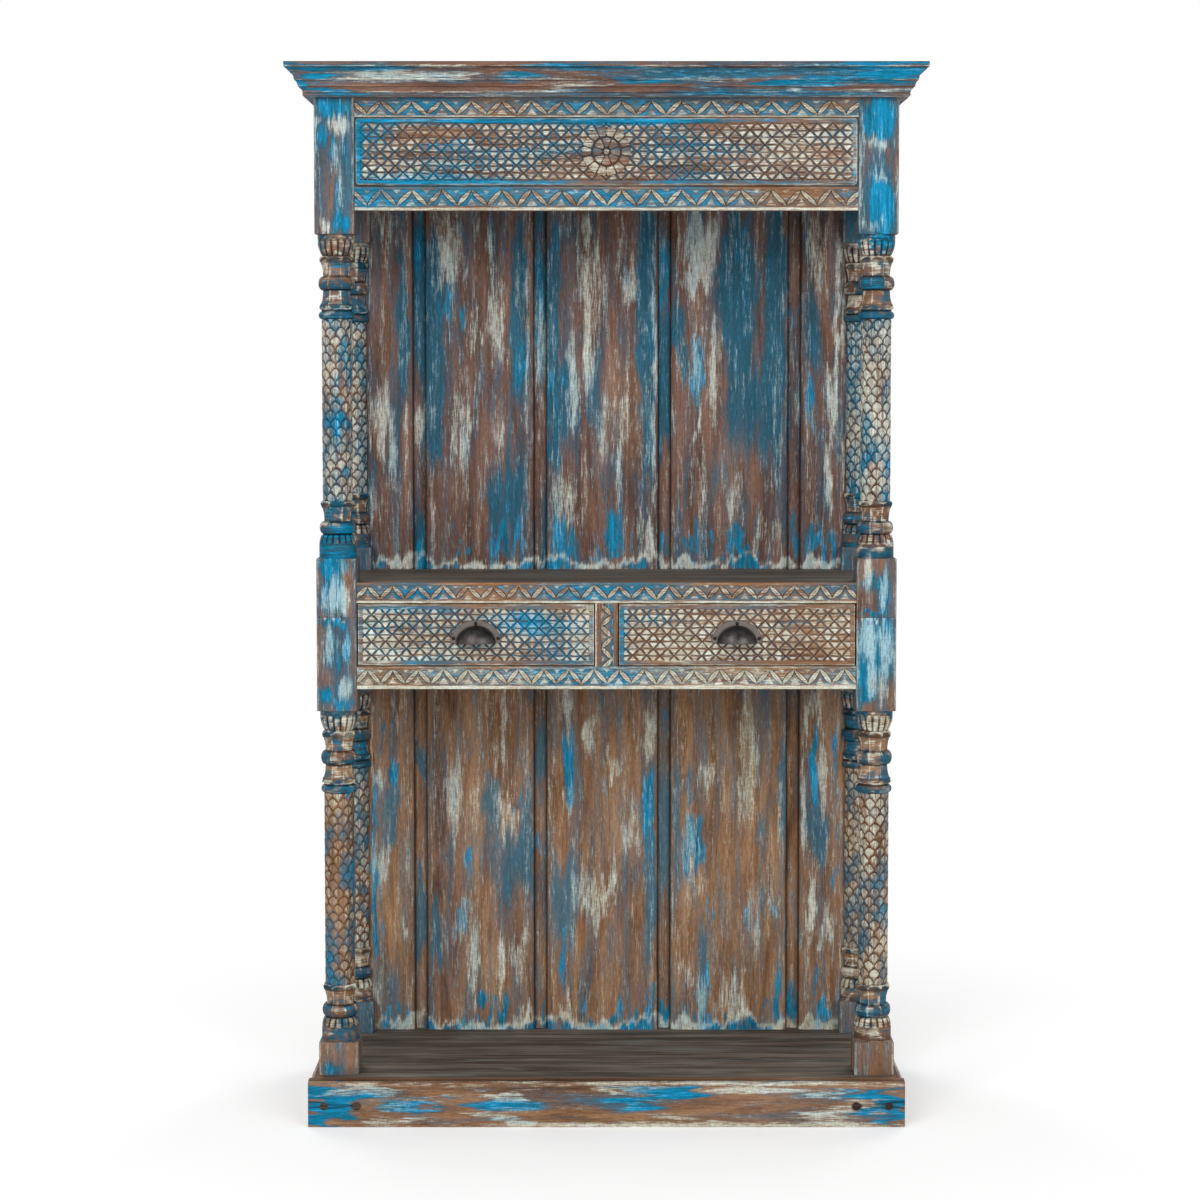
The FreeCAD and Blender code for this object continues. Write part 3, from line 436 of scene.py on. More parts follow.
def painted(name, grain, blue=0.0, glaze=0.0, cream=0.0):
    """Worn paint over stained wood: a deep blue glaze, patches of azure, and dry strokes of cream.

    The three amounts add to a mesh's masks, and stand alone on a CAD node, which has none.
    """
    finish = Finish(name)
    if grain == Z:
        finish.turned = finish.mask("turned")
    wood, fine = wood_colour(finish, grain)
    cloud = finish.noise(24, grain, 8, 3, 0.5, 0.5, 5.0)
    drift = finish.noise(20, grain, 5, 4, 0.55, 0.5, 15.0)
    stroke = finish.noise(8.0, grain, 13, 4, 0.6, 0.4, 3.0)
    second = finish.noise(5.0, grain, 14, 4, 0.6, 0.4, 11.0)
    chatter = finish.noise(7.0, grain, 0.5, 2, 0.5, 0.3, 19.0)
    skip = finish.noise(1.6, grain, 14, 3, 0.6, 0.0, 9.0)
    glaze_terms = ((cloud, 1.3), (second, 0.6), (fine, 0.25))
    azure_terms = ((drift, 1.0), (second, 0.9), (skip, 0.9), (chatter, 0.3))
    cream_terms = ((stroke, 1.1), (second, 0.5), (drift, -0.5), (skip, 1.1), (chatter, 0.2))
    glaze_share = coverage(finish, "glaze", glaze, (0.16, 0.80), 0.92, *glaze_terms)
    azure_share = coverage(finish, "blue", blue, (0.34, 0.82), 0.95, *azure_terms)
    cream_share = coverage(finish, "cream", cream, (0.26, 0.84), 0.94, *cream_terms)
    glaze_tone = finish.tone((second, 0.8), (skip, 0.4))
    glaze_colour = finish.ramp(glaze_tone, (0.3, srgb(32, 72, 84)), (0.7, srgb(14, 102, 132)))
    greyed = finish.math("MULTIPLY", finish.mask("tan"), 0.75)
    if finish.turned:
        greyed = finish.math("MULTIPLY", greyed, finish.math("SUBTRACT", 1.0, finish.turned))
    glaze_colour = finish.mix(greyed, glaze_colour, srgb(86, 112, 124))
    azure_colour = finish.ramp(
        finish.tone((second, 0.9), (cloud, 0.9), (skip, 0.5)),
        (0.25, srgb(4, 84, 108)), (0.5, srgb(2, 116, 150)),
        (0.7, srgb(4, 142, 190)), (0.88, srgb(96, 178, 200)),
    )
    cream_colour = finish.ramp(
        finish.tone((skip, 0.8), (drift, 0.9), (chatter, 0.4)),
        (0.3, srgb(164, 148, 122)), (0.5, srgb(198, 194, 172)), (0.7, srgb(220, 226, 216)),
    )
    cooling = {0: finish.mask("tan"), 1: -0.4, 2: 0.4}
    cool = finish.node("ShaderNodeMath", cooling, operation="MULTIPLY_ADD", use_clamp=True)
    cream_colour = finish.mix(cool, cream_colour, srgb(204, 212, 210))
    wet = finish.math("MULTIPLY", azure_share, 0.6)
    wet = finish.math("MAXIMUM", wet, finish.math("MULTIPLY", glaze_share, 0.4))
    cream_colour = finish.mix(wet, cream_colour, srgb(104, 176, 200))
    colour = finish.mix(glaze_share, wood, glaze_colour)
    colour = finish.mix(azure_share, colour, azure_colour)
    colour = finish.mix(cream_share, colour, cream_colour)
    grit = finish.noise(2.6, grain, 4, 3, 0.7, 0.3, 23.0)
    grit_range = {"Value": grit, "From Min": 0.3, "From Max": 0.7, "To Min": 0.75, "To Max": 1.25}
    colour = finish.mix(1.0, colour, finish.node("ShaderNodeMapRange", grit_range), "MULTIPLY")
    # The dark mask multiplies the colour darker: painted shade in carved lines and grooves, quirks,
    # undersides, cracks, plank seams and the recess round the header's field; and dark knots, a joint line
    # and the cornice's top edge
    dark = finish.math("MULTIPLY", finish.mask("dark"), 0.9)
    colour = finish.mix(dark, colour, srgb(68, 58, 50), "MULTIPLY")
    finish.shader.inputs["Specular IOR Level"].default_value = PAINT_SHEEN
    rough = finish.math("ADD", finish.math("MULTIPLY", skip, 0.3), 0.4)
    height = finish.math("MULTIPLY", finish.math("ADD", cream_share, azure_share), 0.35)
    height = finish.math("ADD", height, finish.math("MULTIPLY", finish.math("ADD", fine, skip), 0.5))
    return finish.finish(colour, rough, height, 0.45)


def plain_wood(name, grain, low, middle, high, streak_colour):
    """Unpainted wood: a figure of three browns with paler or darker streaks."""
    finish = Finish(name)
    figure = finish.noise(24, grain, 18, 6, 0.62, 0.3)
    fine = finish.noise(4.0, grain, 20, 4, 0.6, 0.0, 4.0)
    wear = finish.noise(40, grain, 5, 4, 0.6, 0.5, 8.0)
    lines = finish.noise(3.0, grain, 60, 3, 0.6, 0.2, 13.0)
    tone = finish.tone((figure, 0.7), (lines, 0.9))
    colour = finish.ramp(tone, (0.3, low), (0.5, middle), (0.7, high))
    streaks = finish.band(finish.total((fine, 1.2), (wear, 1.2)), -0.02, 0.3)
    colour = finish.mix(finish.math("MULTIPLY", streaks, 0.6), colour, streak_colour)
    finish.shader.inputs["Specular IOR Level"].default_value = PAINT_SHEEN
    rough = finish.math("ADD", finish.math("MULTIPLY", fine, 0.3), 0.42)
    height = finish.math("ADD", figure, fine)
    return finish.finish(colour, rough, height, 0.35)


def aged_iron(name, low, high, rough_low):
    """Cast iron with a mottled dark patina, paler by a mask: on a pull's flange, and in a painted highlight
    along its cup's lower edge.
    """
    finish = Finish(name)
    patina = finish.noise(16, None, 1, 5, 0.55)
    pits = finish.noise(1.1, None, 1, 3, 0.6, 0.0, 3.0)
    colour = finish.ramp(patina, (0.35, low), (0.68, high))
    # Paler iron: a pull's flange, and a painted highlight along its cup's lower edge
    colour = finish.mix(finish.mask("pale_flange_and_highlight"), colour, srgb(150, 141, 135))
    finish.shader.inputs["Metallic"].default_value = 0.85
    rough = finish.math("ADD", finish.math("MULTIPLY", patina, 0.3), rough_low)
    return finish.finish(colour, rough, pits, 0.12)


upright_paint = painted("worn_blue_upright", Z)
level_paint = painted("worn_blue_level", X)
side_paint = painted("worn_blue_sides", Y)
panel_paint = painted("worn_blue_panels", Y, 0.26, 0.42, 0.24)
PLUG_BROWNS = (srgb(26, 22, 20), srgb(54, 44, 38), srgb(84, 70, 60), srgb(40, 60, 70))
DECK_BROWNS = (srgb(44, 38, 34), srgb(84, 75, 67), srgb(132, 119, 106), srgb(126, 128, 122))
BOX_BROWNS = (srgb(120, 84, 56), srgb(158, 118, 82), srgb(184, 146, 106), srgb(140, 104, 74))
RAW_BROWNS = (srgb(84, 60, 46), srgb(120, 88, 66), srgb(148, 114, 88), srgb(98, 74, 58))
plug_wood = plain_wood("plug_wood", X, *PLUG_BROWNS)
deck_wood = plain_wood("deck_wood", X, *DECK_BROWNS)
box_wood = plain_wood("drawer_wood", Y, *BOX_BROWNS)
box_back_wood = plain_wood("drawer_back_wood", X, *BOX_BROWNS)
raw_wood = plain_wood("hidden_wood", X, *RAW_BROWNS)
pull_iron = aged_iron("pull_iron", srgb(30, 28, 29), srgb(66, 62, 62), 0.2)
screw_steel = aged_iron("screw_steel", srgb(34, 31, 30), srgb(74, 68, 64), 0.3)


# Carving

def zigzag(along, up, period, height):
    """Leaves that lean left and right by turns; up runs from 0 to 1 over a band of a height.

    Gives the depth of the cut, and how far each point is leaf, pale inner triangle, open ground and cut line.
    """
    half = period / 2
    along = along + HAND_DRIFT * wobble(along, up * height, *ZIGZAG_DRIFT[0])
    up = up + HAND_DRIFT / height * wobble(along, up * height, *ZIGZAG_DRIFT[1])
    turn = np.floor(along / half)
    share = along / half - turn
    lean = np.where(turn % 2 == 0, up, 1 - up)
    away = np.abs(share - lean) * half * height / math.hypot(half, height)
    lens = LEAF_HALF_WIDTH * np.sin(math.pi * np.clip(up, 0.02, 0.98)) ** 0.7
    leaf = 1 - smooth(away, lens - 0.5, lens + 0.5)
    from_peak = np.where(turn % 2 == 0, 1 - share, share)
    from_dip = 1 - from_peak
    low_triangle = smooth(0.5 - up - 1.15 * from_peak, 0, 0.08)
    high_triangle = smooth(up - 0.72 - 0.8 * from_dip, 0, 0.06)
    inner = np.maximum(low_triangle, high_triangle) * (1 - leaf)
    tint = cell_tint(turn, turn * 0, LEAF_SEED)
    vein = np.exp(-(away / VEIN_LINE) ** 2)
    leaf_depth = LEAF_CUT * (0.3 * (away / np.maximum(lens, 0.5)) ** 2 + 0.22 * vein)
    ground_depth = LEAF_CUT * np.clip(0.55 + (away - lens) / GROUND_RUN, 0, 1) - TRIANGLE_RAISE * inner
    inside = smooth(up, 0, 0.06) * smooth(1 - up, 0, 0.06)
    depth = (leaf * leaf_depth + (1 - leaf) * ground_depth) * inside
    outline = np.exp(-((away - lens) / LEAF_LINE) ** 2) * inside
    lines = np.maximum(outline, 0.6 * vein * leaf)
    return depth, leaf * inside * (0.9 + 0.3 * tint), inner * inside, (1 - leaf) * (1 - inner) * inside, lines


def lattice(along, up, diamond):
    """Staggered diamonds between crossing grooves, each of two pale triangles that meet at a crease.

    Gives the depth of the cut, and how far each point is pale triangle, deep corner and cut line.
    """
    along = along + HAND_DRIFT * wobble(along, up, *LATTICE_DRIFT[0])
    up = up + HAND_DRIFT * wobble(along, up, *LATTICE_DRIFT[1])
    rising = along / diamond[0] + up / diamond[1]
    falling = along / diamond[0] - up / diamond[1]
    tint = cell_tint(np.floor(rising), np.floor(falling), LATTICE_SEED)
    rising = rising - np.floor(rising) - 0.5
    falling = falling - np.floor(falling) - 0.5
    across, upward = np.abs(rising + falling), np.abs(rising - falling)
    groove = np.exp(-((1 - across - upward) / 0.12) ** 2)
    pale = smooth(TRIANGLE_BASE * (1 - upward) - across, -0.05, 0.05)
    crease = np.exp(-(upward / 0.12) ** 2) * pale
    triangle = 0.15 + 0.55 * (1 - upward) + 0.2 * crease
    depth = LATTICE_CUT * (pale * triangle + (1 - pale) * (0.6 + 0.3 * across) + 0.25 * groove)
    lines = np.maximum(groove, 0.75 * crease)
    return depth, pale * (1 - lines) * (0.9 + 0.35 * tint), (1 - pale) * (1 - groove), lines


def petal_side(angle, count):
    """0 down the middle of each of a count of petals round a turning, 1 on the ridge between two."""
    return np.abs(((angle / (2 * math.pi) * count + 0.5) % 1) - 0.5) * 2


def rosette(along, up):
    """A button in two rings of petals.

    Gives its height, where it is, its grooves, and a tint for each petal.
    """
    radius = np.hypot(along, up)
    angle = np.arctan2(up, along)
    inside = 1 - smooth(radius, ROSETTE_RADIUS - 1.5, ROSETTE_RADIUS)

    def ring(count, start, end):
        side = petal_side(angle, count)
        reach = (radius - start) / (end - start)
        return smooth(1 - side ** 4 - np.abs(2 * reach - 1) ** 5, 0, 0.35)

    button = smooth(BUTTON_RADIUS - radius, 0, 1.5)
    inner = ring(INNER_PETALS, BUTTON_RADIUS + 1, INNER_PETAL_REACH)
    outer = ring(OUTER_PETALS, INNER_PETAL_REACH + 2, ROSETTE_RADIUS)
    petal = np.maximum(np.maximum(inner, outer), button)
    further = radius > INNER_PETAL_REACH + 1
    number = np.floor(angle / (2 * math.pi) * np.where(further, OUTER_PETALS, INNER_PETALS) + 0.5)
    return petal, inside, inside * (1 - petal), cell_tint(number, 1 + further, PETAL_SEED)


def scales(angle, up):
    """Round-topped scales in staggered rows round a shaft, each row behind the one below it.

    Gives the depth of the cut, how far each point is raised scale and line painted dark as shade, and a tint
    for each scale.
    """
    angle = angle + 0.04 * ring_wobble(angle, up, *SCALE_DRIFT[0])
    up = up + HAND_DRIFT * ring_wobble(angle, up, *SCALE_DRIFT[1])
    turn = angle / (2 * math.pi) * SCALES_ROUND
    first = np.floor(up / SCALE_ROW) - 1
    foot, side, tint = np.full(up.shape, -1e6), np.zeros(up.shape), np.zeros(up.shape)
    found = np.zeros(up.shape, bool)
    for step in range(3):
        row = first + step
        place = turn + 0.5 * (row % 2)
        row_side = np.abs(place % 1 - 0.5) * 2
        top = (row + 1 - SCALE_ARCH * row_side ** 1.6) * SCALE_ROW
        here = (up < top) & ~found
        side = np.where(here, row_side, side)
        tint = np.where(here, cell_tint(row, np.floor(place) % SCALES_ROUND, SCALE_SEED), tint)
        found |= here
        foot = np.where(found, foot, np.maximum(foot, top))
    above = up - foot
    rise = smooth(above, 0, 0.6 * SCALE_ROW)
    depth = SCALE_CUT * (0.8 * (1 - rise) + 0.3 * side ** 2)
    groove = np.maximum(1 - smooth(above, 0.8, 3.4), 0.8 * smooth(side, 0.8, 0.98))
    vein = 0.4 * np.exp(-(side / 0.1) ** 2) * rise
    return depth, rise * (1 - groove), np.maximum(groove, vein), tint


# Posts

def turned_profile(lower_block, upper_block, low, high):
    """Heights and radii up a post, with the kind of carving at each height."""
    bottom, top = low[Z] + lower_block, high[Z] - upper_block
    foot = (
        ("drum", 20.0, lambda t: DRUM_RADIUS + 0 * t),
        ("low_bell", 21.5, lambda t: NECK_RADIUS + BELL_SWELL * np.sqrt(1 - t ** 2)),
        ("torus", 22.5, lambda t: NECK_RADIUS + TORUS_SWELL * np.sqrt(1 - (2 * t - 1) ** 2)),
        ("cove", 27.0, lambda t: NECK_RADIUS + NECK_LIP_SWELL * (1 - np.sqrt(1 - t ** 2))),
        ("lip", 8.5, lambda t: SHAFT_RADIUS + SHAFT_LIP_SWELL * np.sqrt(1 - t ** 2)),
    )
    cap = (
        ("ring", 13.0, lambda t: SHAFT_RADIUS + RING_SWELL * np.sqrt(1 - (2 * t - 1) ** 2)),
        ("gap", 3.0, lambda t: SHAFT_RADIUS + 0 * t),
        ("low_lip", 8.0, lambda t: SHAFT_RADIUS + SHAFT_LIP_SWELL * np.sqrt(1 - (1 - t) ** 2)),
        ("cove", 26.0, lambda t: NECK_RADIUS + NECK_LIP_SWELL * (1 - np.sqrt(1 - (1 - t) ** 2))),
        ("torus", 24.0, lambda t: NECK_RADIUS + TORUS_SWELL * np.sqrt(1 - (2 * t - 1) ** 2)),
        ("cove", 26.0, lambda t: NECK_RADIUS + NECK_LIP_SWELL * (1 - np.sqrt(1 - t ** 2))),
        ("lip", 9.0, lambda t: NECK_RADIUS + NECK_LIP_SWELL * np.sqrt(1 - t ** 2)),
        ("bell", 37.5, lambda t: NECK_RADIUS + BELL_SWELL * np.sin(math.pi / 2 * np.minimum(1, t * 1.5))),
    )
    shaft = (("shaft", top - CAP_HEIGHT - bottom - FOOT_HEIGHT, lambda t: SHAFT_RADIUS + 0 * t),)
    heights, radii, kinds, shares = [], [], [], []
    level = bottom
    for kind, rise, radius in foot + shaft + cap:
        count = max(3, int(rise / TURNED_STEP))
        share = (np.arange(count) + 0.5) / count
        if kind in ("torus", "ring", "lip", "low_lip"):
            share = 0.5 - 0.5 * np.cos(math.pi * share)
        heights.append(level + rise * share)
        radii.append(radius(share))
        kinds += [kind] * count
        shares.append(share)
        level += rise
    return np.concatenate(heights), np.concatenate(radii), np.array(kinds), np.concatenate(shares)


def square_radius(angle, half):
    """Distance from the middle of a square block to its chamfered outline."""
    cosine, sine = np.abs(np.cos(angle)), np.abs(np.sin(angle))
    return np.minimum(half / np.maximum(cosine, sine), (2 * half - BLOCK_CHAMFER) / (cosine + sine))


def carved_radius(angle, height, radius, kinds, shares, shaft_base):
    """Radius after carving, with masks of pale ridges, grooves painted dark as shade, tints of scales and
    undersides.

    The undersides are those of the drums, rolls and rings, where the blue lies deepest and painted shade
    darkens them.
    """
    grid_angle, grid_height = np.meshgrid(angle, height)
    wide = np.repeat(radius[:, None], len(angle), axis=1)
    share = shares[:, None]
    side, narrow_side = petal_side(grid_angle, PETALS), petal_side(grid_angle, BELL_PETALS)
    cut, pale, groove = np.zeros(wide.shape), np.zeros(wide.shape), np.zeros(wide.shape)

    def carve(names, new_cut, new_pale, new_groove):
        nonlocal cut, pale, groove
        here = np.isin(kinds, names)[:, None]
        cut = np.where(here, new_cut, cut)
        pale = np.where(here, new_pale, pale)
        groove = np.where(here, new_groove, groove)

    scale_cut, scale_pale, scale_lines, tint = scales(grid_angle, grid_height - shaft_base)
    carve(["shaft"], scale_cut, scale_pale * (0.95 + 0.2 * tint), 0.75 * scale_lines)
    hollow = PETAL_CUT * (1 - side ** 8)
    ridge = smooth(side, 0.84, 0.96)
    neck = smooth(np.abs(share - 0.5), 0.34, 0.5)
    carve(["cove"], 0.7 * hollow, 0.9 * ridge, 0.7 * smooth(neck, 0.2, 1))
    carve(["torus"], 0.35 * hollow, 0.8 * ridge, 0.8 * neck)
    carve(["ring"], 0.0, 0.0, 0.6 * neck)
    for kind, out, shade in (("lip", share, 0.7), ("low_lip", 1 - share, 0.2)):
        arch = 0.9 * np.sqrt(1 - side ** 2) - out
        hole = smooth(arch, -0.1, 0.1)
        carve([kind], LIP_CUT * hole, np.maximum(0.6 * (1 - hole), np.exp(-(arch / 0.16) ** 2)), shade * hole)
    for kind, out in (("bell", share), ("low_bell", 1 - share)):
        tip = 0.66 + 0.16 * np.sqrt(1 - narrow_side ** 2) - out
        petal = smooth(tip, -0.03, 0.03)
        between = smooth(narrow_side, 0.55, 0.9) * petal
        outline = np.maximum(np.exp(-(tip / 0.045) ** 2), 1 - smooth(out, 0, 0.08))
        line = np.maximum(between, 0.7 * outline)
        carve([kind], PETAL_CUT * np.maximum(between, 0.5 * outline), 0.6 * petal * (1 - between), line)
    carve(["gap"], 0.0, 0.0, 0.9)
    # The undersides of drums, rolls and rings: painted shade, and more blue
    underside_blue_and_shade = (0.4 + 0.6 * smooth(0.7 - share, 0, 0.4)) * np.isin(kinds, ["torus", "ring", "drum"])[:, None]
    return wide - cut, pale, groove, tint * (kinds == "shaft")[:, None], np.broadcast_to(underside_blue_and_shade, wide.shape)


# Paint spots on the front posts: (X from the post's middle, Z, half width, half height, amount)
POST_BLUE = {
    "front_left_upper_post": (
        (-3, 1776, 28, 17, 0.75), (-20, 1728, 10, 20, 0.65), (1, 1704, 7, 26, 0.6), (9, 1626, 9, 34, 0.4),
        (12, 1578, 15, 17, 0.65), (18, 1690, 9, 36, 0.15), (-5, 981, 25, 18, 0.9), (-4, 930, 24, 34, 0.55),
        (0, 1050, 40, 50, 0.16), (0, 1418, 40, 10, 0.4), (0, 1250, 60, 150, 0.12),
    ),
    "front_left_lower_post": (
        (-4, 880, 26, 8, 0.6), (-14, 838, 12, 38, 0.4), (17, 834, 8, 24, 0.75), (4, 813, 5, 18, 0.45),
        (14, 766, 15, 20, 0.4), (-20, 754, 12, 14, 0.75), (14, 738, 18, 10, 0.5), (0, 600, 40, 20, 0.3),
        (0, 585, 40, 8, 0.5), (-12, 92, 16, 9, 0.6), (0, 120, 60, 26, -0.15), (0, 410, 60, 150, 0.13),
    ),
    "front_right_upper_post": (
        (-1, 1757, 27, 37, 1.0), (5, 1606, 22, 52, 0.95), (-11, 953, 18, 14, 0.6), (12, 937, 8, 40, 0.6),
        (-6, 900, 26, 4, 0.6), (0, 1545, 40, 12, 0.5), (0, 1480, 40, 60, -0.12), (0, 1418, 40, 9, 0.25),
        (-14, 1220, 16, 90, 0.12), (10, 1270, 30, 130, -0.12),
    ),
    "front_right_lower_post": (
        (0, 830, 40, 70, 0.37), (-12, 847, 15, 44, 0.75), (-21, 788, 10, 22, 1.0), (17, 838, 9, 52, 0.7),
        (-16, 752, 14, 16, 0.65), (0, 585, 40, 8, 0.3), (0, 191, 40, 9, 0.3), (0, 110, 60, 50, -0.2),
    ),
}
POST_CREAM = {
    "front_left_upper_post": (
        (6, 1748, 22, 17, 0.5), (-29, 1748, 6, 8, 0.3), (3, 1695, 7, 34, 0.4), (-14, 1572, 10, 14, 0.5),
        (12, 1630, 9, 40, 0.35), (14, 978, 8, 22, 0.35), (-4, 925, 26, 34, 0.4), (16, 920, 8, 34, 0.35),
        (0, 1250, 60, 150, -0.08),
    ),
    "front_left_lower_post": (
        (-4, 889, 26, 4, 0.5), (-14, 838, 14, 40, 0.35), (17, 834, 12, 30, 0.3), (14, 766, 16, 22, 0.5),
        (0, 400, 60, 190, -0.22),
    ),
    "front_right_upper_post": (
        (0, 1714, 26, 10, 0.35), (5, 1656, 20, 10, 0.3), (-6, 1574, 26, 12, 0.3), (-15, 970, 8, 30, 0.35),
        (12, 937, 8, 38, 0.55), (-28, 1700, 5, 70, 0.2), (-18, 970, 10, 30, 0.2), (0, 1250, 60, 150, 0.06),
    ),
    "front_right_lower_post": (
        (-2, 890, 22, 4, 0.6), (-12, 850, 16, 38, 0.55), (17, 838, 10, 52, 0.55), (-8, 780, 9, 40, 0.5),
        (10, 760, 8, 30, 0.3), (0, 400, 60, 160, 0.05), (0, 830, 40, 70, 0.06),
    ),
}


def post(node):
    """One carved post: square blocks with turned and carved work between them."""
    low, high = span(node)
    rear = node.startswith("rear")
    inward = 1.0 if "left" in node else -1.0
    blocks = LOWER_BLOCKS if "lower" in node else UPPER_BLOCKS
    half = (high[X] - low[X]) / 2
    middle = (low + high) / 2
    angle = np.arange(REAR_POST_SIDES if rear else POST_SIDES)
    angle = (angle + 0.5) / len(angle) * 2 * math.pi - math.pi / 2
    height, radius, kinds, shares = turned_profile(*blocks, low, high)
    shaft_base = low[Z] + blocks[0] + FOOT_HEIGHT
    carved, pale, groove, tint, underside_blue_and_shade = carved_radius(angle, height, radius, kinds, shares, shaft_base)
    foot_block = stations(low[Z], low[Z] + blocks[0], BLOCK_STEP)
    head_block = stations(high[Z] - blocks[1], high[Z], BLOCK_STEP)

    def block(levels):
        ease = eased(levels, levels[0], levels[-1])
        return square_radius(angle, half)[None] - ease[:, None]

    def with_blocks(rows, on_blocks=0.0):
        """Values on the turned rows, with one value all over the blocks below and above them."""
        foot, head = (np.full((len(levels), len(angle)), on_blocks) for levels in (foot_block, head_block))
        return np.concatenate([foot, rows, head])

    reach = np.concatenate([block(foot_block), carved, block(head_block)])
    levels = np.concatenate([foot_block, height, head_block])
    pale, groove, tint, underside_blue_and_shade = (with_blocks(rows) for rows in (pale, groove, tint, underside_blue_and_shade))
    shaft = with_blocks(carved * 0 + (kinds == "shaft")[:, None])
    plain = with_blocks(carved * 0, 1.0)
    across, back = reach * np.cos(angle), reach * np.sin(angle)
    if rear:
        rebate_edge = half - REBATE_DEPTH
        rebate_front = span("back_plank_1")[0][Y] - middle[Y]
        cut = (across * inward > rebate_edge) & (back > rebate_front)
        across = np.where(cut, rebate_edge * inward, across)
    up = np.repeat(levels[:, None], len(angle), axis=1)
    rings = np.stack([middle[X] + across, middle[Y] + back, up], axis=-1)
    turned = 1 - plain
    bare = 0.1 * shaft * tan_share(up)
    scratch = 0.3 * shaft * groove
    corner = plain * smooth(np.abs(np.cos(2 * angle)), 0.22, 0.0)
    seed = sum(ord(letter) for letter in node)
    mood = ring_wobble(angle, up, MOOD_SIZE, seed) + 0.8 * ring_wobble(angle, up, MOTTLE_SIZE, seed + 7)
    fleck = (turned - shaft) * ring_wobble(angle, up, FLECK_SIZE, seed + 8)
    hollow = (turned - shaft) * (1 - underside_blue_and_shade) * tan_share(up)
    member = np.cumsum(np.r_[0, kinds[1:] != kinds[:-1]])
    ragged_angle = angle + 0.16 * ring_wobble(angle, height[:, None], RAGGED_SIZE, seed + 10)
    petal = np.floor(ragged_angle / (2 * math.pi) * PETALS + 0.5) % PETALS
    split = np.isin(kinds, ["shaft", "ring"], invert=True)[:, None]
    panel = with_blocks(cell_tint(petal, member[:, None], seed + 9) * split)
    ragged = stroked(across + back, up, *POST_STROKE, seed)
    blue = spots(across, ragged, POST_BLUE.get(node, ())) - 0.08 * tint - bare - scratch
    cream = spots(across, ragged, POST_CREAM.get(node, ()))
    coat = {
        "blue": blue + 0.1 + 0.08 * plain + 0.24 * shaft + turned * (0.26 * mood - 0.1 * pale) - 0.3 * corner
                + 0.08 * underside_blue_and_shade - 0.12 * hollow + 0.3 * panel,
        "glaze": blue + 0.4 + 0.08 * plain + 0.2 * shaft + turned * (0.3 * mood - 0.2 * pale) + 0.1 * rear
                 + 0.15 * underside_blue_and_shade + 0.3 * fleck + 0.3 * panel,
        "cream": cream + 0.21 - 0.02 * plain + turned * (0.4 * pale - 0.14 * mood) + 0.3 * corner - bare
                 - 0.08 * underside_blue_and_shade - 0.35 * fleck + 0.06 * hollow - 0.24 * panel,
        # Painted shade: dark in the carved grooves, necks and gaps, and on the undersides, where the wood is
        # darkened too
        "dark": np.minimum(groove + 0.22 * underside_blue_and_shade, 1),
        "tan": 0.14 + 0.4 * tan_share(up) + 0.25 * turned - 0.5 * underside_blue_and_shade,
        "turned": turned - shaft,
    }
    loft("carved_" + node, rings, coat, upright_paint, [node])


for side in ("left", "right"):
    for depth in ("front", "rear"):
        for storey in ("lower", "upper"):
            post(f"{depth}_{side}_{storey}_post")


# Back planks and strips: spots of paint, (X, Z, half width, half height, amount)
PLANK_GLAZE = (
    (-378, 1412, 9, 170, 0.5), (-325, 1369, 22, 200, 0.7), (-163, 1421, 18, 170, 0.6),
    (-190, 1085, 42, 70, 0.35), (-102, 1380, 14, 230, 0.4), (-85, 1260, 30, 130, 0.3),
    (75, 1400, 18, 230, 0.7), (137, 1378, 14, 66, 0.5), (243, 1470, 32, 130, 0.6),
    (316, 1400, 20, 220, 0.7), (255, 1250, 36, 100, 0.3), (385, 1405, 18, 90, 0.35),
    (-408, 630, 22, 24, 0.35), (-402, 490, 14, 70, 0.5), (-322, 266, 10, 70, 0.5),
    (-216, 510, 18, 44, 0.45), (-185, 410, 46, 64, 0.3), (-148, 440, 10, 100, 0.45),
    (-74, 330, 30, 70, 0.45), (82, 420, 12, 180, 0.6), (129, 476, 6, 86, 0.4), (155, 527, 8, 34, 0.35),
    (188, 255, 20, 36, 0.25), (286, 442, 8, 34, 0.35), (332, 549, 7, 100, 0.7), (397, 459, 17, 68, 0.5),
)
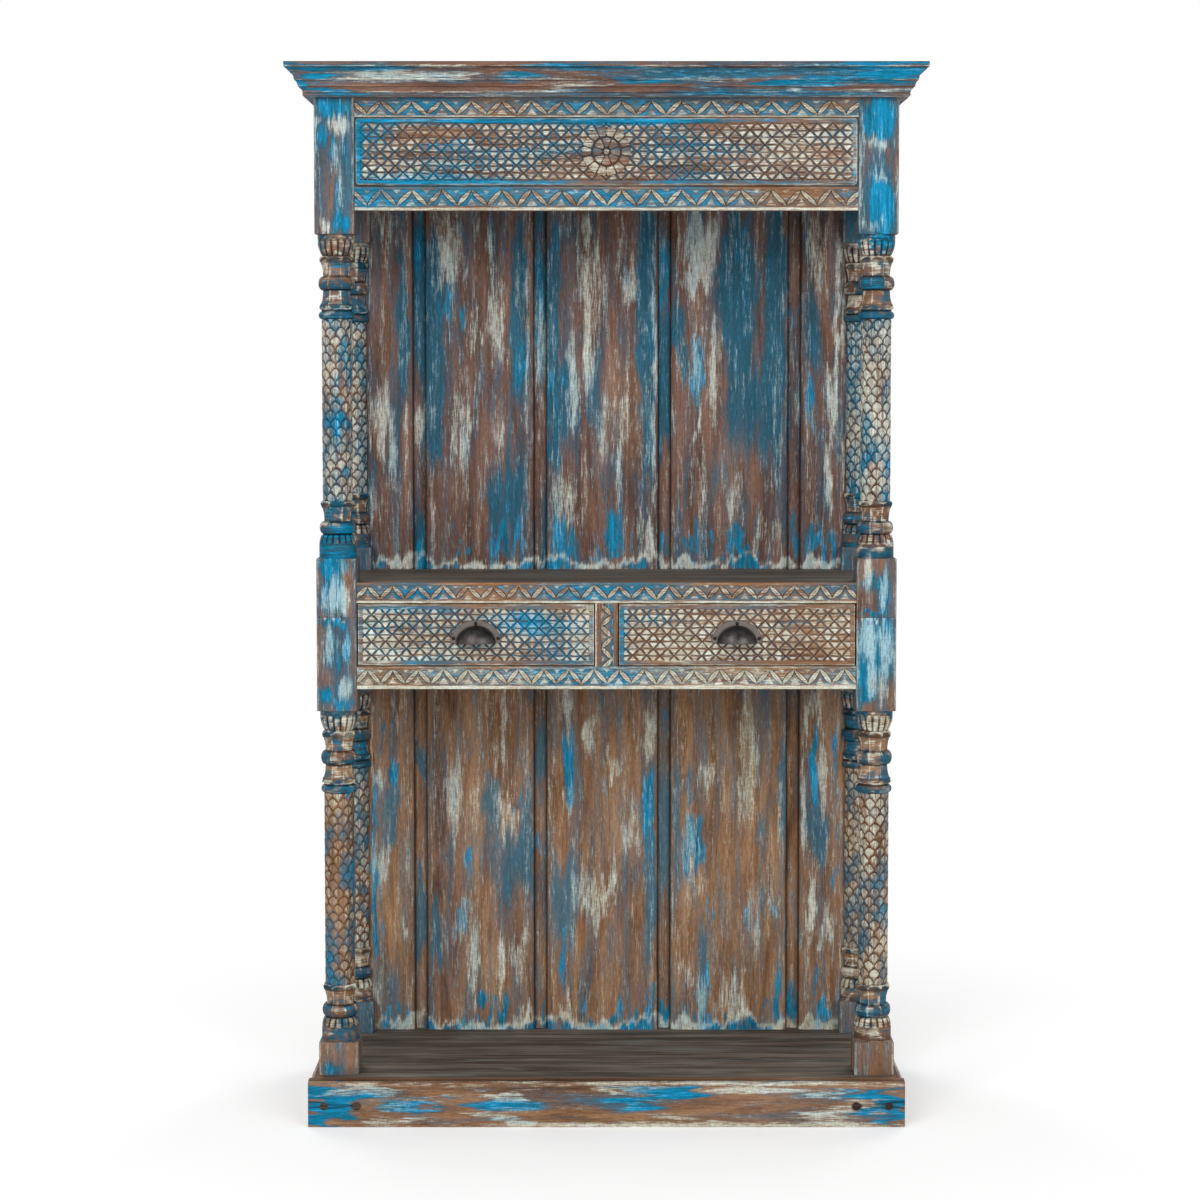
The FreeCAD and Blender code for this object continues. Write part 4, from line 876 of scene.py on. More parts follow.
PLANK_BLUE = (
    (-268, 1567, 8, 18, 0.5), (-294, 1435, 8, 36, 0.5), (-268, 1418, 8, 20, 0.45),
    (-163, 1320, 12, 75, 0.4), (-186, 1000, 36, 36, 0.55), (-262, 972, 32, 10, 0.45),
    (-283, 1018, 10, 12, 0.4), (-80, 1000, 30, 36, 0.6), (-20, 968, 90, 9, 0.5), (8, 1025, 12, 60, 0.45),
    (-94, 1553, 12, 36, 0.35), (-94, 1277, 14, 34, 0.45), (18, 1020, 20, 50, 0.5), (170, 1490, 30, 36, 0.3),
    (170, 1312, 16, 74, 0.55), (258, 1545, 12, 56, 0.5), (160, 1005, 24, 30, 0.55),
    (238, 1000, 14, 32, 0.55), (230, 968, 100, 9, 0.6), (396, 1516, 8, 24, 0.35), (379, 1255, 8, 48, 0.6),
    (400, 990, 34, 28, 0.6), (45, 1480, 18, 40, 0.25), (-401, 581, 13, 22, 0.8), (-437, 390, 7, 190, 0.6),
    (-428, 257, 12, 20, 0.5), (-395, 97, 30, 16, 0.5), (-371, 148, 8, 36, 0.4), (-256, 386, 9, 30, 0.5),
    (-273, 287, 20, 46, 0.45), (-165, 523, 7, 22, 0.4), (-238, 141, 13, 17, 0.65), (-195, 116, 10, 26, 0.7),
    (-237, 95, 56, 16, 0.6), (-70, 572, 12, 80, 0.7), (0, 519, 10, 26, 0.45), (-82, 213, 11, 42, 0.5),
    (-20, 92, 60, 16, 0.7), (-40, 140, 9, 20, 0.4), (81, 490, 12, 100, 0.6), (43, 459, 22, 34, 0.25),
    (82, 132, 10, 46, 0.6), (45, 95, 24, 17, 0.65), (163, 437, 26, 46, 0.8), (197, 313, 11, 18, 0.5),
    (273, 276, 18, 56, 0.3), (313, 309, 12, 38, 0.4), (182, 158, 16, 66, 0.5), (324, 135, 10, 48, 0.6),
    (225, 92, 105, 14, 0.6), (389, 583, 8, 56, 0.75), (430, 545, 6, 110, 0.5), (427, 392, 9, 24, 0.45),
    (393, 178, 12, 28, 0.4), (407, 96, 24, 24, 0.7),
)
PLANK_CREAM = (
    (-413, 1580, 26, 40, 0.35), (-420, 1225, 20, 55, 0.5), (-398, 1160, 8, 80, 0.4),
    (-430, 1078, 18, 30, 0.2), (-296, 1540, 34, 62, 0.35), (-297, 1490, 12, 40, 0.4),
    (-214, 1548, 12, 30, 0.3), (-205, 1410, 16, 95, 0.4), (-240, 1415, 20, 35, 0.25),
    (-272, 1210, 20, 95, 0.4), (-196, 1215, 16, 25, 0.25), (-64, 1293, 12, 90, 0.5),
    (-26, 1485, 30, 75, 0.4), (-36, 1590, 8, 40, 0.35), (-32, 1340, 12, 75, 0.4), (0, 1228, 18, 55, 0.35),
    (-80, 1070, 28, 50, 0.3), (91, 1330, 5, 230, 0.4), (45, 1480, 18, 40, 0.35), (30, 1555, 16, 40, 0.3),
    (32, 1235, 12, 60, 0.35), (25, 1120, 7, 60, 0.35), (75, 1010, 22, 42, 0.4), (174, 1568, 36, 50, 0.6),
    (170, 1490, 30, 36, 0.6), (170, 1312, 16, 74, 0.3), (172, 1205, 10, 22, 0.4), (198, 1320, 10, 80, 0.35),
    (314, 1145, 12, 60, 0.3), (238, 1065, 14, 50, 0.4), (181, 1120, 8, 60, 0.3), (292, 1005, 26, 26, 0.3),
    (393, 1555, 22, 64, 0.35), (428, 1450, 6, 140, 0.5), (420, 1260, 12, 60, 0.5), (415, 1120, 8, 80, 0.4),
    (-430, 557, 12, 20, 0.4), (-424, 410, 18, 32, 0.4), (-392, 594, 12, 10, 0.3), (-383, 260, 12, 20, 0.35),
    (-393, 682, 10, 18, 0.3), (-431, 155, 8, 30, 0.4), (-283, 510, 20, 80, 0.45), (-247, 500, 9, 70, 0.4),
    (-194, 678, 7, 52, 0.45), (-197, 590, 16, 36, 0.35), (-184, 485, 28, 42, 0.45),
    (-273, 287, 20, 46, 0.35), (-249, 206, 14, 52, 0.45), (-199, 204, 11, 42, 0.55),
    (-165, 221, 15, 50, 0.45), (-157, 97, 22, 18, 0.5), (-74, 688, 16, 36, 0.5), (-72, 510, 18, 40, 0.3),
    (-34, 641, 14, 34, 0.6), (12, 592, 18, 24, 0.55), (-30, 330, 44, 46, 0.45), (-74, 122, 18, 20, 0.5),
    (79, 654, 15, 54, 0.5), (43, 459, 22, 34, 0.4), (14, 358, 24, 20, 0.35), (188, 579, 22, 22, 0.45),
    (163, 437, 26, 46, 0.25), (168, 365, 22, 26, 0.3), (267, 610, 16, 110, 0.4), (260, 505, 22, 52, 0.3),
    (273, 276, 18, 56, 0.3), (313, 309, 12, 38, 0.3), (182, 158, 16, 66, 0.4), (145, 189, 12, 22, 0.35),
    (241, 145, 32, 46, 0.4), (371, 490, 4, 95, 0.5), (388, 690, 22, 36, 0.4), (405, 570, 10, 76, 0.5),
    (385, 302, 9, 54, 0.55), (414, 283, 16, 44, 0.45),
)
STRIP_GLAZE = (
    (-349, 1452, 20, 148, 0.6), (-349, 1000, 20, 50, 0.5), (-124, 1440, 20, 180, 0.4),
    (108, 1300, 20, 150, 0.5), (-349, 585, 20, 26, 0.6), (-349, 305, 20, 64, 0.6), (-124, 600, 20, 46, 0.4),
    (108, 450, 20, 140, 0.5),
)
STRIP_BLUE = (
    (-349, 1540, 20, 50, 0.4), (-349, 985, 20, 30, 0.5), (-124, 1480, 20, 130, 0.4),
    (108, 1525, 20, 90, 0.55), (108, 980, 20, 22, 0.5), (350, 1420, 20, 18, 0.4), (340, 1260, 8, 70, 0.4),
    (350, 1000, 20, 36, 0.45), (-124, 416, 20, 26, 0.4), (-118, 135, 8, 26, 0.4), (108, 660, 10, 18, 0.45),
    (108, 103, 20, 24, 0.6), (350, 130, 20, 50, 0.65),
)
STRIP_CREAM = (
    (-349, 1220, 20, 30, 0.4), (-124, 1380, 20, 110, 0.35), (100, 1540, 8, 70, 0.4),
    (360, 1250, 8, 60, 0.3),
)
PLANK_BASE_BLUE, PLANK_BASE_GLAZE, PLANK_BASE_CREAM = 0.16, 0.33, 0.23
# Blue along the foot of each plank, up to a ragged line of cream
SPLASH_HEIGHT = 13.0
# Patches of paler (above 0) and darker (below 0) wood
PLANK_TAN = (
    (190, 640, 130, 110, 0.4), (-200, 690, 70, 60, 0.3), (10, 690, 70, 60, 0.3), (-300, 400, 34, 220, -0.5),
    (-170, 330, 50, 140, -0.4), (-300, 160, 50, 80, -0.35), (400, 420, 34, 170, -0.45),
    (30, 300, 60, 100, -0.25), (300, 420, 40, 160, 0.2), (-405, 300, 40, 120, 0.2),
    (-200, 1380, 60, 90, 0.15), (40, 1250, 40, 120, 0.2), (230, 1100, 60, 90, 0.25),
    (-300, 1050, 50, 90, -0.2), (-400, 1350, 30, 120, 0.15),
)


def upright_board(node, steps, blue, glaze, cream, bevel=None):
    """A back board on its end, its paint laid on in spots and its back bare."""
    axes = (Z, X, Y)
    low, high = span(node)
    up, across = face_grid(low, high, axes, steps)
    fall = PLANK_UNEVEN * wobble(across, up / 6, *PLANK_WAVES) + PLANK_UNEVEN
    from_edge = np.minimum(across - low[X], high[X] - across)
    if bevel:
        fall = fall + bevel[1] * (1 - np.clip(from_edge / bevel[0], 0, 1))
        worn = np.exp(-((from_edge - bevel[0]) / PLANK_WORN) ** 2)
        edge = 1 - smooth(from_edge, 0, PLANK_SEAM_SHADE)
    else:
        gap = (high[X] - low[X]) / 2 - STRIP_SHOWN / 2
        worn = 0.0
        edge = 1 - smooth(from_edge - gap, 0, STRIP_SEAM_SHADE)
    fall = np.maximum(fall, eased(across, low[X], high[X]))
    ragged = stroked(across, up, *PLANK_STROKE)
    aside = across + PLANK_SWAY * wobble(across, up, *PLANK_ASIDE)
    shelf, deck = span("shelf_board")[1][Z], span("base_deck")[1][Z]
    above = np.where(up > shelf, up - shelf, up - deck)
    waves = 1 + wobble(across, 0 * up, *SPLASH_WAVES)
    seam = SPLASH_HEIGHT * (waves + 0.7 * wobble(across, 0 * up, *SPLASH_CHIPS))
    wet = smooth(wobble(across, 0 * up, *SPLASH_WET), -0.35, 0.1)
    splash = smooth(seam - above, -2, 4) * (above > 0)
    fringe = np.exp(-((above - seam) / 6) ** 2) * (above > 0)
    board(
        "painted", node, axes, (up, across), low[Y] + fall, high[Y], upright_paint,
        blue=PLANK_BASE_BLUE + 1.1 * spots(aside, ragged, blue) + (0.6 * wet - 0.1) * splash,
        glaze=PLANK_BASE_GLAZE + 1.2 * spots(aside, ragged, glaze),
        cream=PLANK_BASE_CREAM + 0.85 * spots(aside, ragged, cream) + 0.12 * worn + 0.5 * fringe
              + (0.4 - 0.5 * wet) * splash,
        # Painted shade along the edges where planks and strips meet
        dark=edge,
        tan=0.8 * tan_share(up) + spots(aside, ragged, PLANK_TAN),
    )


for number in range(1, 6):
    upright_board(f"back_plank_{number}", PLANK_STEPS, PLANK_BLUE, PLANK_GLAZE, PLANK_CREAM, PLANK_BEVEL)
for number in range(1, 5):
    upright_board(f"back_strip_{number}", STRIP_STEPS, STRIP_BLUE, STRIP_GLAZE, STRIP_CREAM)


# Carved rails: spots of blue along X, (X, half width, amount)
RAIL_BLUE = {
    "header_top_rail": ((-330, 90, 0.3), (-20, 120, 0.25), (300, 120, 0.2), (-180, 60, -0.2)),
    "header_low_rail": ((-400, 50, 0.3), (-240, 110, 0.3), (60, 160, 0.25), (330, 90, -0.25)),
    "drawer_top_rail": ((-330, 60, 0.3), (-200, 60, -0.15), (-40, 60, 0.3), (60, 60, 0.3), (330, 80, -0.1)),
    "drawer_low_rail": (
        (-380, 60, -0.3), (-260, 60, 0.1), (-100, 80, 0.3), (20, 40, 0.35), (250, 110, -0.25),
    ),
}
RAIL_CREAM = {
    "header_top_rail": 0.19, "header_low_rail": 0.2, "drawer_top_rail": 0.18, "drawer_low_rail": 0.39,
}


def carved_rail(node, period, band):
    """A rail with a band of leaning leaves; band gives the plain margins below and above it."""
    axes = (X, Z, Y)
    low, high = span(node)
    along, up = face_grid(low, high, axes, (RAIL_STEP, RAIL_STEP))
    bottom, top = low[Z] + band[0], high[Z] - band[1]
    depth, leaf, inner, ground, lines = zigzag(along, (up - bottom) / (top - bottom), period, top - bottom)
    fall = np.maximum(depth + RAIL_UNEVEN * wobble(along, up, *RAIL_WAVES), eased(up, low[Z], high[Z]))
    lean = sum(amount * np.exp(-((along - place) / wide) ** 2) for place, wide, amount in RAIL_BLUE[node])
    arris = 1 - smooth(up - low[Z], band[0] * 0.5, band[0] * 0.9)
    board(
        "carved", node, axes, (along, up), low[Y] + fall, high[Y], level_paint,
        blue=0.14 + lean + 0.24 * ground - 0.26 * leaf - 0.2 * inner - 0.4 * arris,
        glaze=0.4 + lean + 0.2 * ground - 0.3 * leaf - 0.4 * arris,
        cream=RAIL_CREAM[node] + 0.4 * leaf + 0.3 * inner + 0.6 * arris,
        # Painted shade in the cut outlines and veins of the leaves
        dark=lines,
        tan=0.7,
    )


cornice_base = span("cornice_front")[0][Z]
top_rail_margin = span("header_top_rail")[1][Z] - cornice_base + BAND_MARGIN
carved_rail("header_top_rail", HEADER_LEAF_PERIOD, (BAND_MARGIN - 1, top_rail_margin))
carved_rail("header_low_rail", HEADER_LEAF_PERIOD, (BAND_MARGIN + 3, BAND_MARGIN))
carved_rail("drawer_top_rail", DRAWER_LEAF_PERIOD, (BAND_MARGIN + 2, BAND_MARGIN))
carved_rail("drawer_low_rail", DRAWER_LEAF_PERIOD, (BAND_MARGIN + 4, BAND_MARGIN))


def carved_stile(node):
    """The upright between the drawers, with one file of leaning leaves, from rail to rail."""
    axes = (Z, X, Y)
    low, high = span(node)
    low[Z], high[Z] = span("drawer_low_rail")[1][Z], span("drawer_top_rail")[0][Z]
    up, across = face_grid(low, high, axes, (STILE_STEP, STILE_STEP))
    left, right = low[X] + BAND_MARGIN + 5, high[X] - BAND_MARGIN - 3
    share = (across - left) / (right - left)
    depth, leaf, inner, ground, lines = zigzag(up, share, STILE_LEAF_PERIOD, right - left)
    fall = np.maximum(depth, eased(across, low[X], high[X]))
    arris = 1 - smooth(across - low[X], 2, 5)
    board(
        "carved", node, axes, (up, across), low[Y] + fall, high[Y], upright_paint,
        blue=0.14 + 0.2 * ground - 0.2 * leaf,
        glaze=0.3 + 0.2 * ground - 0.3 * leaf,
        cream=0.16 + 0.4 * leaf + 0.25 * inner + 0.5 * arris,
        # Painted shade in the cut outlines and veins of the leaves
        dark=lines,
        tan=0.6,
    )


carved_stile("drawer_centre_stile")


def inside_field(along, up, low, high, corner):
    """Distance from each point in to the rounded outline of a field; negative outside it."""
    middle = (low + high) / 2
    half = (high - low) / 2
    across = np.abs(along - middle[X]) - half[X] + corner
    upward = np.abs(up - middle[Z]) - half[Z] + corner
    outside = np.hypot(np.maximum(across, 0), np.maximum(upward, 0))
    return corner - outside - np.minimum(np.maximum(across, upward), 0)


# Header and drawers: spots of paint, (X, Z, half width, half height, amount)
HEADER_BLUE = (
    (-400, 1735, 40, 30, 0.35), (-300, 1650, 120, 12, 0.45), (-60, 1752, 240, 9, 0.5),
    (-200, 1700, 120, 40, 0.12), (120, 1700, 90, 40, 0.2), (-428, 1700, 8, 60, 0.5),
    (330, 1700, 100, 60, -0.15),
)
HEADER_CREAM = (
    (-380, 1665, 60, 18, 0.2), (330, 1700, 110, 70, 0.12), (428, 1700, 9, 60, 0.3),
)


def carved_header(node):
    """The frieze board: a raised field of diamonds round a rosette."""
    axes = (X, Z, Y)
    low, high = span(node)
    low[Z], high[Z] = span("header_low_rail")[1][Z], span("header_top_rail")[0][Z]
    post_face = span("front_right_upper_post")[0][X]
    low[X], high[X] = -post_face, post_face
    along, up = face_grid(low, high, axes, (HEADER_STEP, HEADER_STEP))
    inside = inside_field(along, up, low + FIELD_GAP, high - FIELD_GAP, FIELD_CORNER)
    raised = smooth(inside, -0.2, 1.6)
    field = smooth(inside, FIELD_BORDER - 1.0, FIELD_BORDER + 0.6)
    centre = (low + high) / 2
    depth, pale, deep, lines = lattice(along, up - centre[Z], HEADER_DIAMOND)
    petal, round_field, grooves, tint = rosette(along - centre[X], up - centre[Z])
    around = 1 - round_field
    depth = depth * field * around + round_field * PETAL_SINK * (1 - petal)
    depth = depth - round_field * ROSETTE_RAISE * petal
    from_middle = np.hypot(along - centre[X], up - centre[Z])
    whitened = 0.45 + 0.3 * smooth(np.abs(from_middle - PETAL_MIDDLE), 6, 12) + 0.4 * tint
    pale = pale * field * around + whitened * petal * round_field
    deep = deep * field * around
    lines = lines * field * around + 0.5 * grooves
    face = low[Y] + ROSETTE_RAISE
    front = face + FIELD_RAISE * (1 - raised) + depth
    rim = np.exp(-((inside - 0.8) / 1.3) ** 2)
    blue = spots(along, up, HEADER_BLUE)
    border = raised * (1 - field)
    board(
        "carved", node, axes, (along, up), front, high[Y], level_paint,
        blue=0.22 + blue + 0.16 * deep - 0.1 * pale - 0.2 * lines + 0.3 * border - 0.3 * rim
             - 0.15 * round_field,
        glaze=0.5 + blue + 0.2 * deep - 0.3 * pale - 0.2 * lines - 0.3 * rim,
        cream=0.17 + spots(along, up, HEADER_CREAM) + 0.37 * pale - 0.2 * lines + 0.5 * rim,
        # Painted shade in the cut lines, the rosette's grooves and the recess round the raised field
        dark=np.minimum(0.8 * lines + 0.6 * (1 - raised), 1),
        tan=0.4,
    )


carved_header("header_panel")

DRAWER_BLUE = {
    "left_drawer": (
        (-330, 905, 90, 8, 0.35), (-130, 880, 90, 26, 0.35), (-80, 850, 60, 40, 0.2),
        (-300, 815, 80, 8, 0.2),
    ),
    "right_drawer": (
        (28, 860, 10, 60, 0.55), (70, 895, 50, 16, 0.3), (330, 850, 80, 30, -0.1), (110, 880, 60, 10, 0.2),
    ),
}
DRAWER_CREAM = {
    "left_drawer": ((-40, 860, 26, 60, 0.25), (-400, 850, 40, 60, 0.2), (-300, 830, 90, 20, 0.1)),
    "right_drawer": ((150, 850, 120, 40, 0.15), (410, 850, 24, 50, 0.1)),
}
DRAWER_BASE_BLUE = {"left_drawer": 0.22, "right_drawer": 0.06}


def carved_drawer(body):
    """A drawer front covered with diamonds inside a plain border."""
    node = body + "_front"
    axes = (X, Z, Y)
    low, high = span(node)
    along, up = face_grid(low, high, axes, (DRAWER_STEP, DRAWER_STEP))
    inside = inside_field(along, up, low, high, 1.0)
    field = smooth(inside, FIELD_BORDER - 0.5, FIELD_BORDER + 0.8)
    centre = (low + high) / 2
    depth, pale, deep, lines = lattice(along - centre[X], up - centre[Z], DRAWER_DIAMOND)
    edge = np.maximum(eased(along, low[X], high[X]), eased(up, low[Z], high[Z]))
    front = low[Y] + np.maximum(depth * field, edge)
    rim = 1 - smooth(inside, 0.5, 2.5)
    pale, deep, lines = pale * field, deep * field, lines * field
    blue = DRAWER_BASE_BLUE[body] + spots(along, up, DRAWER_BLUE[body])
    board(
        "carved", node, axes, (along, up), front, high[Y], level_paint, body,
        blue=blue + 0.2 * deep - 0.12 * pale - 0.2 * lines - 0.25 * rim,
        glaze=0.24 + blue + 0.2 * deep - 0.3 * pale - 0.25 * lines - 0.3 * rim,
        cream=0.22 + spots(along, up, DRAWER_CREAM[body]) + 0.4 * pale - 0.2 * lines + 0.3 * rim,
        # Painted shade in the cut lines
        dark=0.8 * lines,
        tan=0.6,
    )


for drawer in DRAWERS:
    carved_drawer(drawer)


def cup_pull(body):
    """A half-round cup on a flat flange: one section turned through half an ellipse, open below."""
    node = body + "_pull"
    low, high = span(node)
    middle = (low + high) / 2
    half, tall, reach = (high[X] - low[X]) / 2, high[Z] - low[Z], high[Y] - low[Y]
    bulge = np.linspace(0, math.pi / 2 - 0.02, CUP_POINTS)
    plate = [(1.0, 0.0), (1.0, PULL_PLATE * 0.6)]
    plate += [(share, PULL_PLATE) for share in (0.985, 0.9, CUP_SHARE)]
    outer = [(CUP_SHARE * math.cos(b), PULL_PLATE + (reach - PULL_PLATE) * math.sin(b)) for b in bulge]
    hollow = CUP_SHARE - PULL_PLATE / half
    inner = [(hollow * math.cos(b), (reach - PULL_PLATE) * math.sin(b)) for b in bulge[::-1]]
    section = np.array(plate + outer[1:] + inner)
    turn = np.linspace(0, math.pi, PULL_RINGS)[:, None]
    across = middle[X] + half * section[:, 0] * np.cos(turn)
    up = low[Z] + tall * section[:, 0] * np.sin(turn)
    back = np.broadcast_to(high[Y] - section[:, 1], across.shape)
    flange = np.r_[np.ones(len(plate)), np.zeros(len(section) - len(plate))]
    # A painted highlight along the lower edge of the cup
    low_edge_highlight = np.exp(-((up - low[Z]) / CUP_HIGHLIGHT_HEIGHT) ** 2) * (1 - flange) * 0.15
    rings = np.stack([across, back, up], axis=-1)
    loft("iron_" + node, rings, {"pale_flange_and_highlight": 0.42 * flange + low_edge_highlight}, pull_iron, [node], body)


for drawer in DRAWERS:
    cup_pull(drawer)


# Cornice: its lowest bead, rings along its front and sides, and spots of paint as on the planks
CORNICE_BEAD = 7.0
CORNICE_RINGS = (190, 70)
CORNICE_UNEVEN = 0.25
CORNICE_STROKE = (8.0, 60.0, 41)
CORNICE_BLUE = (
    (-528, 1826, 26, 26, 0.8), (-425, 1838, 90, 7, 0.45), (-140, 1828, 50, 7, 0.5),
    (-50, 1840, 80, 7, 0.45), (-470, 1799, 45, 6, 0.5), (490, 1834, 60, 18, 0.75), (335, 1817, 66, 8, 0.65),
    (30, 1818, 46, 7, 0.55), (400, 1830, 130, 16, 0.4), (150, 1830, 110, 10, 0.3), (300, 1800, 200, 5, 0.3),
)
CORNICE_CREAM = (
    (-370, 1825, 125, 12, 0.4), (-295, 1841, 50, 7, 0.3), (-73, 1808, 34, 7, 0.35),
    (325, 1805, 30, 4, 0.35), (480, 1804, 46, 5, 0.35), (-250, 1802, 230, 3, 0.3), (60, 1838, 60, 5, 0.2),
)
CORNICE_BARE = (
    (-290, 1809, 190, 8, 0.4), (-240, 1847, 110, 5, 0.3), (70, 1808, 80, 8, 0.35), (440, 1808, 50, 6, 0.3),
)


def arc(start, end, bow, count=7):
    """Points from start to end on a curve that bows out to its left by a share of its length."""
    share = np.linspace(0, 1, count)[:, None]
    start, end = np.array(start), np.array(end)
    left = np.array([-(end - start)[1], (end - start)[0]])
    return start + (end - start) * share + left * bow * 4 * share * (1 - share)


def cornice_outline():
    """The moulding's section as (out, up) points from the foot of its back.

    Gives marks of its worn arrises, and of its quirks for painted shade, as well.
    """
    runs = (
        arc((0, 0), (15, 0), 0, 4), arc((15, 0), (15, CORNICE_BEAD), -0.3),
        arc((17, 7), (22, 16.5), 0.12), arc((24, 16.5), (28, 27.5), 0.05),
        arc((30, 27.5), (43, 47), 0.16, 12), arc((43, 48.5), (46, 48.5), 0, 2),
        arc((46, 49), (46, 57), 0, 5), arc((45, 57), (0, 57), 0, 8),
    )
    points = np.concatenate(runs)
    worn = np.concatenate([np.r_[1.0, np.zeros(len(run) - 1)] for run in runs])
    quirk = np.concatenate([np.r_[np.zeros(len(run) - 1), 1.0] for run in runs])
    return points, worn, quirk


def cornice(node, facing):
    """One mitred length of the moulding; facing is 0 for the front, or -1 and 1 for the sides."""
    low, high = span(node)
    section, worn, quirk = cornice_outline()
    post_low, post_high = span("front_left_upper_post")[0], span("rear_right_upper_post")[1]
    out, up = section[:, 0], low[Z] + section[:, 1]
    if facing == 0:
        along = np.linspace(-1, 1, CORNICE_RINGS[0])[:, None]
        across = along * (post_high[X] + out)
        back = np.broadcast_to(post_low[Y] - out, across.shape)
        grain = level_paint
    else:
        along = np.linspace(0, 1, CORNICE_RINGS[1])[:, None]
        back = post_low[Y] - out + along * (high[Y] - post_low[Y] + out)
        across = np.broadcast_to(facing * (post_high[X] + out), back.shape)
        grain = side_paint
    level = np.broadcast_to(up, across.shape)
    rise = CORNICE_UNEVEN * wobble(across + back, level * 3, *CORNICE_WAVES) * (level < high[Z] - 1)
    rings = np.stack([across, back, level + rise], axis=-1)
    ragged = stroked(level * 2, across, *CORNICE_STROKE)
    blue = spots(ragged, level, CORNICE_BLUE) - spots(ragged, level, CORNICE_BARE)
    cream = spots(ragged, level, CORNICE_CREAM) - spots(ragged, level, CORNICE_BARE)
    top_edge = smooth(level, high[Z] - 2.5, high[Z] - 0.5)
    coat = {
        "blue": 0.22 + blue - 0.2 * worn,
        "glaze": 0.42 + blue - 0.2 * worn,
        "cream": 0.2 + cream + 0.26 * worn - 0.4 * top_edge,
        # Painted shade in the quirks under each step; the top edge is darker as well
        "dark": np.maximum(0.5 * top_edge, 0.7 * quirk),
        "tan": 0.1,
    }
    loft("painted_" + node, rings, coat, grain, [node])


for side, facing in FACINGS:
    cornice(f"cornice_{side}", facing)


# Plinth: paint spots, knots and the cracks that run from them to the ends
PLINTH_ARRIS = 8.0
PLINTH_ARRIS_POINTS = 7
PLINTH_UNEVEN = 0.25
PLINTH_STROKE = (8.0, 50.0, 51)
PLINTH_UP_STEP = 1.6
PLINTH_FRONT_STEP = 1.8
PLINTH_SIDE_STEP = 5.0
PLINTH_BLUE = (
    (-490, 36, 44, 44, 1.1), (-424, 62, 36, 16, 0.35), (-330, 37, 32, 14, 0.65), (-250, 56, 14, 9, 0.35),
    (-140, 43, 46, 8, 0.55), (-196, 36, 54, 8, 0.6), (-205, 14, 24, 13, 0.25), (-10, 44, 18, 12, 0.2),
    (95, 59, 60, 14, 0.95), (54, 40, 46, 13, 0.6), (250, 78, 260, 5, 0.35), (392, 60, 32, 11, 0.4),
    (484, 42, 42, 27, 0.95), (500, 8, 20, 10, 0.4),
)
PLINTH_CREAM = (
    (-424, 64, 36, 14, 0.35), (-388, 14, 38, 10, 0.4), (-330, 40, 44, 20, 0.2), (-250, 56, 14, 9, 0.35),
    (-140, 55, 46, 12, 0.55), (-190, 30, 60, 8, 0.25), (-205, 14, 24, 13, 0.45), (-14, 65, 22, 7, 0.45),
    (250, 65, 100, 7, 0.5), (250, 78, 260, 5, 0.3), (160, 17, 36, 9, 0.45), (120, 5, 420, 6, 0.4),
    (404, 26, 60, 24, 0.4), (392, 60, 32, 11, 0.35), (40, 68, 46, 5, 0.3),
)
PLINTH_TAN = (
    (-250, 60, 70, 24, 0.3), (50, 18, 70, 10, 0.4), (-60, 25, 90, 16, 0.2), (220, 42, 130, 16, -0.1),
)
KNOT_FROM_END, KNOT_LEVEL, KNOT_RADIUS = 85.0, 37.0, 8.5
KNOT_DEPTH = 1.2
CRACK_SLOPES = (1.0, -0.55)
CRACK_FALL = 7.0
CRACK_WIDTH = 1.1
CRACK_DEPTH = 1.6


